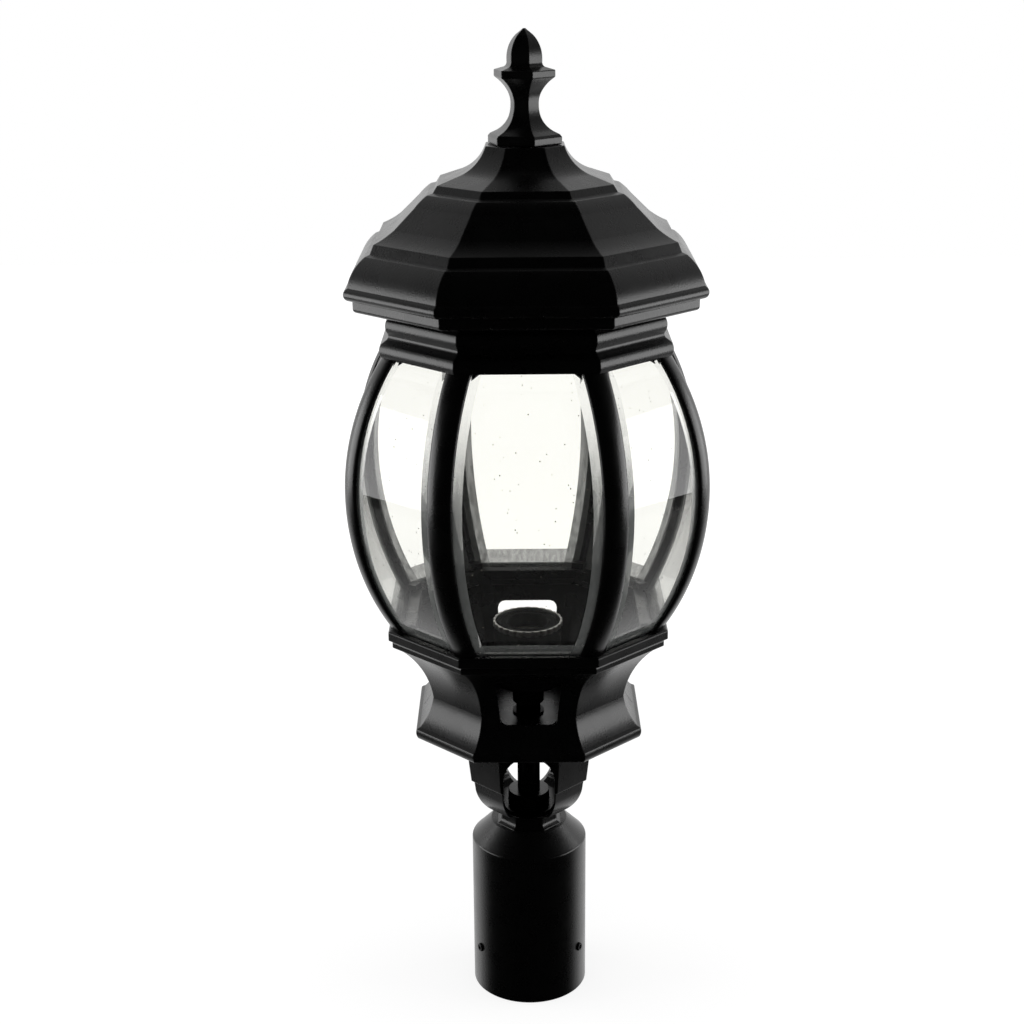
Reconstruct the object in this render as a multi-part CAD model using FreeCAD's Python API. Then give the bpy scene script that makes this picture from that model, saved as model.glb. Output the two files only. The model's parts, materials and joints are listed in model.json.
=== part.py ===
"""Post top lantern: cast aluminium, bowed bevelled glass, fits over a round post.

Millimetres, +Z up, the front looks along -Y. The origin is the centre of the post
fitter's lower edge. Every cast tier is an eight-sided figure: four main sides square to
X and Y and four narrower diagonal ones. An outline is drawn once, as distance of a main
side from the axis against height, and carried round the eight corners, so the mouldings
mitre at every corner.
"""
import FreeCAD, Part
import math
import os

V = FreeCAD.Vector
UP = V(0, 0, 1)

# ---------------------------------------------------------------- driving sizes, mm
side_ratio = 0.48            # half width of a main side over its distance from the axis
seat_gap = 0.3               # rest clearance between pieces that come apart
thread_gap = 0.05            # clearance of a plain-drawn thread in its hole
running_gap = 0.08           # the finial's thread on its stud

# Post fitter: a tube with a conical shoulder
fitter_radius = 41.0
fitter_wall = 2.7
fitter_straight = 115.0      # height of the straight tube
fitter_edge = 1.6            # rounded edge between tube and shoulder
fitter_height = 129.7
fitter_top_radius = 27.0
fitter_plate = 3.0
set_screw_radius = 3.0
set_screw_length = 4.0
set_screw_height = 34.0
set_screw_socket = 3.0       # across the flats of the hexagon socket
set_screw_socket_depth = 2.0
set_screw_chamfer = 0.4
set_screw_bearings = (60.0, 180.0, 300.0)   # degrees round from the front

# Neck cup: eight-sided bowl with an arched window front and back
neck_height = 79.3
neck_collar = 19.5           # main side of the collar
neck_foot = 23.0
neck_bowl = 37.7             # main side at the top of the bowl
neck_bowl_height = 29.6
neck_lip = 40.6
neck_top = 43.5
neck_wall = 3.6
neck_floor = 14.3            # inside floor above the neck's foot
neck_boss_radius = 14.7
neck_boss_height = 6.5
neck_window_half = 17.7
neck_window_sill = 11.6
neck_window_head = 66.3

# Pedestal: waisted eight-sided casting with a window front and back
pedestal_height = 75.7
pedestal_rim = 77.6
pedestal_groove = 74.8
pedestal_waist = 65.5
pedestal_waist_height = 28.5
pedestal_cove_top = 89.1
pedestal_cove_height = 69.7
pedestal_bead = 91.5
pedestal_wall = 3.2
pedestal_floor = 3.5
pedestal_flange = 4.0        # thickness of the inner flange the cage screws pass
pedestal_seam = 0.8          # width of the parting groove down each side of the flare
pedestal_window_sill = 22.0
pedestal_window_head = 59.5
pedestal_window_half_top = 22.2
pedestal_window_half_sill = 18.8
pedestal_window_corner = 5.0

# Cage: lower ring, eight bowed ribs, eight bowed panes, upper ring
lower_ring_face = 94.0
lower_ring_height = 6.8
lower_ring_land = 5.9        # height of its upright face
ring_bore = 74.0             # main side of both rings' inner opening
rib_height = 188.0
belly_height = 98.5          # widest point above the lower ring
belly_radius = 130.3         # rib nose from the axis at the belly
rib_foot_radius = 99.8
rib_head_radius = 101.1
rib_half_width = 8.6
rib_nose = 1.3               # nose beyond the corner where the panes' faces would meet
rib_web = 3.0
rib_depth = 10.5             # from that corner in to the web's back
lug_width = 9.0
lug_depth = 7.0
lug_height = 4.5
lug_setback = 7.0            # from the panes' corner to the lug
cage_screw_radius = 1.5
screw_head_radius = 2.75
screw_head_height = 2.0
screw_end_gap = 0.5          # screw end below the lug's far face

pane_thickness = 4.0
pane_edge = 2.0              # glass left at the edge of the bevel
pane_engage = 3.5            # how far a pane reaches into each ring
pane_flat_main = 33.5        # half width of the unbevelled field
pane_flat_diagonal = 20.5
pane_end_bevel = 13.0        # bevel height at the head and the foot
pane_side_gap = 0.4
pane_seat_gap = 0.3
pane_stations = 9
rib_stations = 17            # level sections; runs between them lie within 0.12 mm of the bow
clip_width = 8.0
clip_drop = 5.7
clip_thickness = 1.0
clip_inset = 5.8             # from the corner line to the clip

upper_ring_roll = 94.2
upper_ring_bead = 90.0
upper_ring_cove = 84.8
upper_ring_height = 30.7
upper_ring_lip = 3.8         # the lip that centres the roof
upper_ring_wall = 3.2
upper_ring_shelf = 5.5       # inner shelf that takes the upper cage screws
strap_lug_length = 11.0
strap_lug_drop = 10.0

# Roof: two tiers over an ovolo eave
roof_eave = 114.9            # main side at the bead, the widest point of the lantern
roof_wall = 3.0
roof_soffit = 3.0
roof_overhang = 5.5          # bead beyond the fascia
roof_fascia_height = 8.1
roof_bead_height = 15.4
roof_ovolo_width = 13.8      # from the eave in to the shelf
roof_shelf_height = 34.7
roof_shelf_width = 3.1
roof_rim_low_height = 36.0
roof_rim_width = 2.4
roof_tier_height = 42.0
roof_tier_width = 37.0       # from the lower rim in to the upper one
roof_rim_high_height = 71.2
roof_crown_step = 2.8
roof_crown_foot_height = 75.7
roof_crown = 25.2            # main side at the top, under the finial
roof_crown_rise = 22.9
roof_stud_hole = 3.4

# Strap, stud and finial that hold the roof down
strap_width = 18.0
strap_thickness = 2.5
strap_screw_radius = 2.0
strap_screw_inset = 4.5      # screw axis from the strap's end
strap_screw_depth = 7.0      # shank below the strap's underside
strap_head_radius = 3.6
strap_head_height = 2.6
strap_sink = 2.7             # the strap's underside below the roof's
stud_tail = 1.0              # stud below its lower nut
stud_radius = 3.0
stud_engage = 15.0           # stud inside the finial
stud_nut_flats = 10.0
stud_nut_height = 5.0
finial_height = 71.2
finial_sides = 6
finial_turn = -46.0          # bearing of one corner from the front, degrees
finial_base = 24.8           # corner radii
finial_waist = 9.5
finial_waist_height = 24.0
finial_collar = 20.4
finial_collar_height = 43.8
finial_bulb = 11.9
finial_bore_spare = 2.0

# Lamp tube through neck and pedestal, with what it clamps
tube_radius = 5.0
tube_wall = 1.25
tube_tail = 3.2              # tube below the lower nut
tube_nut_flats = 17.0
tube_nut_height = 6.0
washer_radius = 11.0
washer_thickness = 1.5
sleeve_radius = 8.0
sleeve_gap = 0.3
disc_thickness = 1.5

# Lampholder
holder_foot_radius = 11.0
holder_foot_height = 15.0
holder_radius = 23.4
holder_height = 44.5
holder_wall = 1.4
holder_floor = 2.0
holder_rim_radius = 24.2
holder_rim_height = 3.5
holder_rim_inner = 22.6
holder_rim_teeth = 20
holder_rim_notch = 1.1
insert_recess = 1.2          # insert below the rim
insert_mouth = 14.4
insert_depth = 31.0
insert_back_radius = 8.0
insert_back_depth = 6.0
shell_inset = 9.5            # threaded shell below the insert's face
shell_thickness = 0.5
shell_gap = 0.15
contact_radius = 4.0
contact_height = 3.0
contact_clearance = 1.0      # shell's foot above the contact's tip

earth_screw_radius = 2.0
earth_screw_head = 4.0
earth_screw_head_height = 3.0
earth_screw_place = (-42.0, 24.0)

# ---------------------------------------------------------------- heights of the stack
corner_reach = math.hypot(1.0, side_ratio)
main_angle = math.atan(side_ratio)
diagonal_angle = math.radians(45.0) - main_angle
diagonal_reach = (1.0 + side_ratio) / math.sqrt(2.0)

neck_base = fitter_height
pedestal_base = neck_base + neck_height
lower_ring_base = pedestal_base + pedestal_height
rib_base = lower_ring_base + lower_ring_height
belly_level = rib_base + belly_height
upper_ring_base = rib_base + rib_height
roof_base = upper_ring_base + upper_ring_height
roof_height = roof_crown_foot_height + roof_crown_rise
roof_top = roof_base + roof_height
finial_seat = roof_top + seat_gap
pane_foot = rib_base - pane_engage
pane_head = upper_ring_base + pane_engage

roof_fascia = roof_eave - roof_overhang
roof_shelf = roof_eave - roof_ovolo_width
roof_rim_low = roof_shelf - roof_shelf_width
roof_tier = roof_rim_low - roof_rim_width
roof_rim_high = roof_tier - roof_tier_width
roof_crown_foot = roof_rim_high - roof_crown_step

fitter_bore = fitter_radius - fitter_wall
fitter_ceiling = fitter_height - fitter_plate
disc_base = neck_base + neck_floor + neck_boss_height
sleeve_base = disc_base + disc_thickness
floor_top = pedestal_base + pedestal_floor
upper_nut_base = floor_top + washer_thickness
holder_foot_base = upper_nut_base + tube_nut_height
holder_base = holder_foot_base + holder_foot_height
holder_top = holder_base + holder_height
rim_top = holder_top + holder_rim_height
insert_face = rim_top - insert_recess
insert_well = insert_face - insert_depth
shell_radius = insert_mouth - shell_gap
shell_foot = insert_well + contact_height + contact_clearance
tube_hole = tube_radius + thread_gap
tube_foot = fitter_ceiling - washer_thickness - tube_nut_height - tube_tail
tube_head = holder_base + holder_floor + 1.0

strap_base = roof_base - strap_sink
strap_half = ring_bore + 3.5
stud_foot = strap_base - stud_nut_height
stud_head = finial_seat + stud_engage

rise = rib_height - belly_height
head_drop = belly_radius - rib_head_radius
foot_drop = belly_radius - rib_foot_radius
upper_bow = (rise ** 2 + head_drop ** 2) / (2.0 * head_drop)
lower_bow = (belly_height ** 2 + foot_drop ** 2) / (2.0 * foot_drop)


# ---------------------------------------------------------------- drawing helpers
def outline(start, *steps):
    """Edges from start through steps. A step is a point, or (point on an arc, its end)."""
    edges = []
    here = V(start[0], 0, start[1])
    for step in steps:
        if isinstance(step[0], tuple):
            middle = V(step[0][0], 0, step[0][1])
            end = V(step[1][0], 0, step[1][1])
            edges.append(Part.Arc(here, middle, end).toShape())
        else:
            end = V(step[0], 0, step[1])
            edges.append(Part.LineSegment(here, end).toShape())
        here = end
    return edges


def octagon():
    """Directions to the eight corners, scaled so a main side lies at distance one."""
    quarter = [V(-side_ratio, -1, 0), V(side_ratio, -1, 0)]
    corners = []
    for turn in range(4):
        corners += [turned(corner, 90.0 * turn) for corner in quarter]
    return corners


def regular(sides, first):
    """Unit directions to the corners of a regular polygon, first is a bearing from the front."""
    start = V(0, -1, 0)
    return [turned(start, first + 360.0 * i / sides) for i in range(sides)]


def turned(vector, degrees):
    """A vector turned about the upright axis."""
    return FreeCAD.Rotation(UP, degrees).multVec(vector)


def carried(edge, corner):
    """The copy of an outline's edge that stands in the plane of one corner."""
    ends = [V(corner.x * p.x, corner.y * p.x, p.z) for p in (edge.valueAt(t) for t in edge.ParameterRange)]
    if isinstance(edge.Curve, Part.Line):
        return Part.LineSegment(ends[0], ends[1]).toShape()
    matrix = FreeCAD.Matrix(corner.x, -corner.y, 0, 0, corner.y, corner.x, 0, 0, 0, 0, 1, 0, 0, 0, 0, 1)
    return edge.transformGeometry(matrix).Edges[0]


def strip(first, second):
    """The face between the copies of one edge at neighbouring corners."""
    if isinstance(first.Curve, Part.Line):
        a, b = (first.valueAt(t) for t in first.ParameterRange)
        d, c = (second.valueAt(t) for t in second.ParameterRange)
        return Part.Face(Part.makePolygon([a, b, c, d, a]))
    return Part.makeRuledSurface(first, second)


def cap(point, corners):
    """The level face inside the corners at an outline's end."""
    loop = [V(corner.x * point.x, corner.y * point.x, point.z) for corner in corners]
    return Part.Face(Part.makePolygon(loop + loop[:1]))


def mitred(edges, corners):
    """Carry an outline round the corners. An open outline is capped at both ends."""
    faces = []
    for edge in edges:
        copies = [carried(edge, corner) for corner in corners]
        faces += [strip(a, b) for a, b in zip(copies, copies[1:] + copies[:1])]
    start = edges[0].valueAt(edges[0].FirstParameter)
    end = edges[-1].valueAt(edges[-1].LastParameter)
    if start.distanceToPoint(end) > 1e-6:
        faces += [cap(start, corners), cap(end, corners)]
    shell = Part.makeShell(faces)
    shell.sewShape()
    solid = Part.makeSolid(Part.Shell(shell.Faces))
    if solid.Volume < 0:
        solid.reverse()
    return solid


def revolved(start, *steps):
    """A solid of revolution from a closed outline of radius against height."""
    face = Part.Face(Part.Wire(outline(start, *steps)))
    return face.revolve(V(0, 0, 0), UP, 360.0)


def rod(radius, low, high, x=0.0, y=0.0):
    """An upright cylinder between two heights."""
    return Part.makeCylinder(radius, high - low, V(x, y, low))


def ring(outer, inner, low, high):
    """An upright tube between two heights."""
    return rod(outer, low, high).cut(rod(inner, low - 1.0, high + 1.0))


def hexagon(flats, low, high):
    """An upright hexagonal prism, named by its size across the flats."""
    radius = flats / math.sqrt(3.0)
    points = [turned(V(0, -radius, low), 60.0 * i) for i in range(7)]
    return Part.Face(Part.makePolygon(points)).extrude(V(0, 0, high - low))


def prism_y(wire, low, high):
    """A flat outline in the XZ plane pushed from y = low to y = high."""
    face = Part.Face(wire)
    face.translate(V(0, low, 0))
    return face.extrude(V(0, high - low, 0))


def box(x0, x1, y0, y1, z0, z1):
    """A block between opposite corners."""
    return Part.makeBox(x1 - x0, y1 - y0, z1 - z0, V(x0, y0, z0))


def about_axis(shape, degrees):
    """A copy of a shape turned about the lantern's axis."""
    copy = shape.copy()
    copy.rotate(V(0, 0, 0), UP, degrees)
    return copy


def fused(first, *others):
    """One solid from pieces that overlap or meet."""
    return first.fuse(list(others)).removeSplitter()


OCTAGON = octagon()
pieces = {}


# ---------------------------------------------------------------- post fitter
def set_screw_axis(bearing):
    """Unit vector out through a set screw."""
    return turned(V(0, -1, 0), bearing)


def make_post_fitter():
    """Tube, shoulder and top plate in one casting, tapped for three set screws."""
    edge_drop = fitter_edge * 0.4
    cone_start = (fitter_radius - edge_drop * 1.6, fitter_straight + fitter_edge)
    body = revolved(
        (fitter_bore, 0), (fitter_radius - 0.6, 0), (fitter_radius, 0.6), (fitter_radius, fitter_straight),
        ((fitter_radius - edge_drop * 0.45, fitter_straight + fitter_edge * 0.6), cone_start),
        (fitter_top_radius, fitter_height), (tube_hole, fitter_height), (tube_hole, fitter_ceiling),
        (fitter_top_radius - 1.0, fitter_ceiling), (fitter_bore, fitter_straight - 1.0), (fitter_bore, 0))
    for bearing in set_screw_bearings:
        axis = set_screw_axis(bearing)
        start = axis * (fitter_bore - 5.0) + UP * set_screw_height
        body = body.cut(Part.makeCylinder(set_screw_radius + thread_gap, fitter_wall + 10.0, start, axis))
    return body


def make_set_screw(bearing):
    """Grub screw whose tip is level with the bore, its socket outward."""
    chamfer = set_screw_chamfer
    tip = fitter_bore + thread_gap
    body = revolved(
        (0, 0), (set_screw_radius - chamfer, 0), (set_screw_radius, chamfer),
        (set_screw_radius, set_screw_length - chamfer), (set_screw_radius - chamfer, set_screw_length),
        (0, set_screw_length), (0, 0))
    socket = hexagon(set_screw_socket, set_screw_length - set_screw_socket_depth, set_screw_length + 1.0)
    body = body.cut(socket)
    body.rotate(V(0, 0, 0), V(1, 0, 0), 90.0)
    body.translate(V(0, -tip, set_screw_height))
    return about_axis(body, bearing)


# ---------------------------------------------------------------- neck cup
def make_neck_cup():
    """Eight-sided bowl on a collar, with a boss for the disc and two arched windows."""
    base = neck_base
    bowl_middle = (neck_bowl - 4.3, base + neck_bowl_height - 10.4)
    outer = mitred(outline(
        (neck_foot, base), ((neck_collar + 0.8, base + 1.5), (neck_collar, base + 4.0)),
        (neck_collar, base + 7.4), (bowl_middle, (neck_bowl, base + neck_bowl_height)),
        (neck_lip - 2.0, base + neck_bowl_height + 7.0), (neck_lip, base + neck_bowl_height + 8.2),
        (neck_top - 1.3, base + neck_bowl_height + 22.7), (neck_top, base + neck_height)), OCTAGON)
    cavity_middle = (neck_bowl - 8.0, base + neck_bowl_height - 8.6)
    cavity = mitred(outline(
        (neck_collar + 3.0, base + neck_floor),
        (cavity_middle, (neck_bowl - neck_wall, base + neck_bowl_height + 1.0)),
        (neck_lip - neck_wall, base + neck_bowl_height + 10.0),
        (neck_top - neck_wall, base + neck_height + 1.0)), OCTAGON)
    body = outer.cut(cavity)
    body = fused(body, rod(neck_boss_radius, base + neck_floor - 2.0, disc_base))
    half = neck_window_half
    sill = base + neck_window_sill
    head = base + neck_window_head
    arch = Part.Wire(outline(
        (-half, sill + half), ((0, sill), (half, sill + half)), (half, head - half),
        ((0, head), (-half, head - half)), (-half, sill + half)))
    clear = neck_boss_radius + 1.0
    body = body.cut([prism_y(arch, -2.0 * neck_top, -clear), prism_y(arch, clear, 2.0 * neck_top)])
    return body.cut(rod(tube_hole, base - 1.0, disc_base + 1.0))


# ---------------------------------------------------------------- lamp tube and its stack
def make_lamp_tube():
    """Threaded tube that clamps fitter, neck, pedestal and lampholder, open for the wires."""
    return ring(tube_radius, tube_radius - tube_wall, tube_foot, tube_head)


def make_tube_nuts():
    """One nut under the fitter's plate and one on the pedestal's floor."""
    lower_top = fitter_ceiling - washer_thickness
    spans = [(lower_top - tube_nut_height, lower_top), (upper_nut_base, upper_nut_base + tube_nut_height)]
    nuts = []
    for low, high in spans:
        nuts.append(hexagon(tube_nut_flats, low, high).cut(rod(tube_hole, low - 1.0, high + 1.0)))
    return Part.makeCompound(nuts)


def make_tube_washers():
    """Flat washers under both nuts."""
    return Part.makeCompound([
        ring(washer_radius, tube_hole, fitter_ceiling - washer_thickness, fitter_ceiling),
        ring(washer_radius, tube_hole, floor_top, upper_nut_base)])


# ---------------------------------------------------------------- pedestal
def make_base_pedestal():
    """Waisted casting, floor below and flange above, with a window front and back."""
    base = pedestal_base
    top = base + pedestal_height
    waist = base + pedestal_waist_height
    cove_middle = (pedestal_waist + 6.0, base + 48.2)
    outer = mitred(outline(
        (pedestal_rim - 1.3, base), ((pedestal_rim, base + 3.4), (pedestal_rim - 0.4, base + 6.8)),
        (pedestal_groove, base + 8.0), ((pedestal_waist + 2.7, base + 18.2), (pedestal_waist, waist)),
        (cove_middle, (pedestal_cove_top, base + pedestal_cove_height)),
        (pedestal_bead, base + pedestal_cove_height + 0.6),
        (pedestal_bead, base + pedestal_cove_height + 4.0),
        (pedestal_bead - 0.9, top)), OCTAGON)
    wall = pedestal_wall
    flange = top - pedestal_flange
    cavity = mitred(outline(
        (pedestal_groove - wall, floor_top), (pedestal_groove - wall, base + 7.0),
        ((pedestal_waist - wall + 2.4, base + 18.2), (pedestal_waist - wall, waist)),
        ((pedestal_waist - wall + 5.4, base + 49.0), (pedestal_cove_top - wall - 3.0, flange - 3.0)),
        (pedestal_cove_top - wall - 3.0, flange), (ring_bore, flange), (ring_bore, top + 1.0)), OCTAGON)
    body = outer.cut(cavity)
    body = body.cut(pedestal_window())
    seams = []
    for side in (-1, 1):
        ends = sorted((side * pedestal_rim, side * (pedestal_waist - 1.0)))
        seams.append(box(*ends, -0.5 * pedestal_seam, 0.5 * pedestal_seam, base + 8.2, base + 18.0))
    grooves = [seam.cut(mitred(seam_core(), OCTAGON)) for seam in seams]
    body = body.cut(grooves)
    hole = cage_screw_radius + thread_gap
    screws = [rod(hole, flange - 1.0, top + 1.0, p.x, p.y) for p in foot_screw_places()]
    x, y = earth_screw_place
    screws.append(rod(earth_screw_radius + thread_gap, base - 1.0, floor_top + 1.0, x, y))
    screws.append(rod(tube_hole, base - 1.0, floor_top + 1.0))
    return body.cut(screws)


def seam_core():
    """The flare's outline sunk by the seam's depth, so the seam only scores the surface."""
    base = pedestal_base
    depth = 0.8
    return outline(
        (pedestal_groove - depth, base), (pedestal_groove - depth, base + 8.0),
        ((pedestal_waist + 2.7 - depth, base + 18.2), (pedestal_waist - depth, base + pedestal_waist_height)))


def pedestal_window():
    """Rounded window, wider at its head, cut through front and back."""
    sill = pedestal_base + pedestal_window_sill
    head = pedestal_base + pedestal_window_head
    low = pedestal_window_half_sill
    high = pedestal_window_half_top
    points = [V(-low, 0, sill), V(low, 0, sill), V(high, 0, head), V(-high, 0, head)]
    block = prism_y(Part.makePolygon(points + points[:1]), -2.0 * pedestal_rim, 2.0 * pedestal_rim)
    corners = [edge for edge in block.Edges if abs(edge.tangentAt(edge.FirstParameter).y) > 0.99]
    return block.makeFillet(pedestal_window_corner, corners)


# ---------------------------------------------------------------- the bowed barrel
def nose_radius(z):
    """Rib nose from the axis at a height: two arcs that share an upright tangent at the belly."""
    reach = z - belly_level
    bow = upper_bow if reach > 0 else lower_bow
    return belly_radius - bow + math.sqrt(bow ** 2 - reach ** 2)


def pane_corner(z):
    """Where two panes' outer faces would meet, from the axis."""
    return nose_radius(z) - rib_nose


def pane_face(z):
    """Outer face of a main pane, from the axis."""
    return pane_corner(z) / corner_reach


def corner_point(radius, z, side):
    """Point at a radius in the plane of the corner beside the front pane, then off it by side."""
    sine = math.sin(main_angle)
    cosine = math.cos(main_angle)
    return V(radius * sine - side * cosine, -radius * cosine - side * sine, z)


def quarter_round(start, corner, end):
    """A quarter of an ellipse that touches both legs of a corner."""
    curve = Part.BezierCurve()
    curve.setPoles([start, corner, end])
    curve.setWeight(2, math.sqrt(0.5))
    return curve.toShape()


def rib_section(z):
    """Level section of a rib: rounded nose, shoulders on both panes, web between them."""
    meet = pane_corner(z)
    apex = meet + rib_nose
    half = rib_half_width
    web = 0.5 * rib_web
    main_lift = seat_gap / math.cos(main_angle)
    diagonal_lift = seat_gap / math.cos(diagonal_angle)
    main_side = meet + main_lift - half * math.tan(main_angle)
    diagonal_side = meet + diagonal_lift - half * math.tan(diagonal_angle)
    points = [
        corner_point(diagonal_side, z, -half),
        corner_point(meet + diagonal_lift - web * math.tan(diagonal_angle), z, -web),
        corner_point(meet - rib_depth, z, -web),
        corner_point(meet - rib_depth, z, web),
        corner_point(meet + main_lift - web * math.tan(main_angle), z, web),
        corner_point(main_side, z, half)]
    edges = [Part.LineSegment(a, b).toShape() for a, b in zip(points, points[1:])]
    crown = corner_point(apex, z, 0)
    edges.append(quarter_round(points[-1], corner_point(apex, z, half), crown))
    edges.append(quarter_round(crown, corner_point(apex, z, -half), points[0]))
    return Part.Wire(edges)


def stations(low, high, count):
    """Evenly spaced heights from low to high."""
    return [low + (high - low) * i / (count - 1.0) for i in range(count)]


def lug(z_end, low, high):
    """Inner lug at a rib's end, tapped for its screw."""
    outer = pane_corner(z_end) - lug_setback
    points = []
    for radius, side in ((outer, 1), (outer, -1), (outer - lug_depth, -1), (outer - lug_depth, 1)):
        points.append(corner_point(radius, low, side * 0.5 * lug_width))
    face = Part.Face(Part.makePolygon(points + points[:1]))
    return face.extrude(V(0, 0, high - low))


def screw_centre(z_end):
    """Axis of the screw through the lug at a rib's end."""
    return corner_point(pane_corner(z_end) - lug_setback - 0.5 * lug_depth, 0, 0)


def around(point):
    """A point by one corner, repeated at all eight corners."""
    places = []
    for turn in range(4):
        places.append(turned(point, 90.0 * turn))
        places.append(turned(V(-point.x, point.y, point.z), 90.0 * turn))
    return places


def foot_screw_places():
    """Axes of the eight lower cage screws."""
    return around(screw_centre(rib_base))


def head_screw_places():
    """Axes of the eight upper cage screws."""
    return around(screw_centre(upper_ring_base))


def make_rib():
    """The rib to the right of the front pane."""
    levels = stations(rib_base, upper_ring_base, rib_stations)
    body = Part.makeLoft([rib_section(z) for z in levels], True, True)
    foot = lug(rib_base, rib_base, rib_base + lug_height)
    head = lug(upper_ring_base, upper_ring_base - lug_height, upper_ring_base)
    body = fused(body, foot, head)
    hole = cage_screw_radius + thread_gap
    low = screw_centre(rib_base)
    high = screw_centre(upper_ring_base)
    return body.cut([
        rod(hole, rib_base - 1.0, rib_base + lug_height + 1.0, low.x, low.y),
        rod(hole, upper_ring_base - lug_height - 1.0, upper_ring_base + 1.0, high.x, high.y)])


def pane_section(z, reach, angle, flat):
    """Level section of a pane facing the front: flat back, bevelled borders."""
    face = pane_face(z) * reach
    back = face - pane_thickness
    cut_back = (0.5 * rib_web + pane_side_gap) / math.cos(angle)
    edge_half = (face - pane_thickness + pane_edge) * math.tan(angle) - cut_back
    back_half = back * math.tan(angle) - cut_back
    edge_face = face - pane_thickness + pane_edge
    points = [
        V(-back_half, -back, z), V(-edge_half, -edge_face, z), V(-flat, -face, z),
        V(flat, -face, z), V(edge_half, -edge_face, z), V(back_half, -back, z)]
    return Part.makePolygon(points + points[:1])


def end_bevel(z_end, z_inner, reach):
    """Wedge that takes the bevel off a pane's head or foot."""
    inner = pane_face(z_inner) * reach
    edge = pane_face(z_end) * reach - pane_thickness + pane_edge
    over = 0.3
    tail_y = edge - over * (inner - edge)
    tail_z = z_end - over * (z_inner - z_end)
    far = inner + 30.0
    width = 2.0 * belly_radius
    points = [
        V(-width, -tail_y, tail_z), V(-width, -inner, z_inner), V(-width, -far, z_inner),
        V(-width, -far, tail_z)]
    return Part.Face(Part.makePolygon(points + points[:1])).extrude(V(2.0 * width, 0, 0))


def make_pane(reach, angle, flat):
    """One bowed pane at the front; reach and angle tell a main pane from a diagonal one."""
    levels = stations(pane_foot, pane_head, pane_stations)
    body = Part.makeLoft([pane_section(z, reach, angle, flat) for z in levels], True, False)
    return body.cut([
        end_bevel(pane_foot, pane_foot + pane_end_bevel, reach),
        end_bevel(pane_head, pane_head - pane_end_bevel, reach)])


def make_glass_clips():
    """Small three-cornered tabs at the head of every pane, two to a pane."""
    lip = groove_back(upper_ring_base, pane_head) - 0.2
    clips = []
    for turn in range(8):
        reach = diagonal_reach if turn % 2 else 1.0
        angle = diagonal_angle if turn % 2 else main_angle
        back = lip * reach
        outer = back * math.tan(angle) - clip_inset
        for side in (-1, 1):
            points = [
                V(side * outer, -back, upper_ring_base),
                V(side * (outer - clip_width), -back, upper_ring_base),
                V(side * outer, -back - 0.7 * clip_drop, upper_ring_base - clip_drop)]
            tab = Part.Face(Part.makePolygon(points + points[:1])).extrude(V(0, clip_thickness, 0))
            clips.append(about_axis(tab, 45.0 * turn))
    return Part.makeCompound(clips)


def groove_back(z_ring, z_end):
    """Inner wall of the groove that holds the panes at one ring."""
    return min(pane_face(z_ring), pane_face(z_end)) - pane_thickness - pane_seat_gap


def groove_front(z_ring, z_end):
    """Outer wall of the groove that holds the panes at one ring."""
    return max(pane_face(z_ring), pane_face(z_end)) + pane_seat_gap


# ---------------------------------------------------------------- the cage's rings
def make_cage_bottom_ring():
    """Ring that ribs and panes stand on, grooved for the glass."""
    base = lower_ring_base
    top = rib_base
    face = lower_ring_face
    back = groove_back(rib_base, pane_foot)
    front = groove_front(rib_base, pane_foot)
    floor = pane_foot - pane_seat_gap
    body = mitred(outline(
        (ring_bore, base), (face, base), (face, base + lower_ring_land), (face - 1.1, top), (front, top),
        (front, floor), (back, floor), (back, top), (ring_bore, top), (ring_bore, base)), OCTAGON)
    hole = cage_screw_radius + thread_gap
    return body.cut([rod(hole, base - 1.0, top + 1.0, p.x, p.y) for p in foot_screw_places()])


def make_cage_top_ring():
    """Frieze of two rolls and two coves, with the roof's centring lip and the strap's lugs."""
    base = upper_ring_base
    top = roof_base
    roll = upper_ring_roll
    bead = upper_ring_bead
    cove = upper_ring_cove
    back = groove_back(upper_ring_base, pane_head)
    front = groove_front(upper_ring_base, pane_head)
    ceiling = pane_head + pane_seat_gap
    lip = roof_opening() - 0.5
    lip_back = lip - upper_ring_wall
    shelf = base + upper_ring_shelf
    body = mitred(outline(
        (front, base), (roll - 1.2, base), ((roll, base + 4.5), (roll - 1.2, base + 8.8)),
        (bead, base + 10.9),
        ((bead - 1.6, base + 12.8), (bead - 1.2, base + 15.4)),
        ((bead, base + 19.5), (bead - 0.8, base + 23.6)),
        (bead - 2.6, base + 24.9), ((cove + 0.9, base + 27.0), (cove, top)), (lip, top),
        (lip, top + upper_ring_lip), (lip_back, top + upper_ring_lip), (lip_back, base + 27.0),
        (cove - 1.3, base + 20.0), (cove - 0.5, base + 12.0), (back + 1.0, shelf), (ring_bore, shelf),
        (ring_bore, base), (back, base), (back, ceiling), (front, ceiling), (front, base)), OCTAGON)
    lugs = []
    for side in (-1, 1):
        far = side * (cove - 1.0)
        near = side * (strap_half - strap_lug_length)
        lugs.append(box(min(far, near), max(far, near), -0.5 * strap_width, 0.5 * strap_width,
                        strap_base - strap_lug_drop, strap_base))
    body = fused(body, *lugs)
    hole = cage_screw_radius + thread_gap
    holes = [rod(hole, base - 1.0, shelf + 1.0, p.x, p.y) for p in head_screw_places()]
    tapped = strap_screw_radius + thread_gap
    tap_end = strap_base - strap_screw_depth - 1.0
    holes += [rod(tapped, tap_end, strap_base + 1.0, x, 0) for x in strap_screw_places()]
    return body.cut(holes)


def cage_screw(place, seat, end):
    """Pan-head screw from its seat to its end, up or down."""
    way = 1.0 if end > seat else -1.0
    low = min(seat, end)
    head_low = seat - screw_head_height if way > 0 else seat
    shank = rod(cage_screw_radius, low, max(seat, end), place.x, place.y)
    head = rod(screw_head_radius, head_low, head_low + screw_head_height, place.x, place.y)
    return fused(shank, head)


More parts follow.
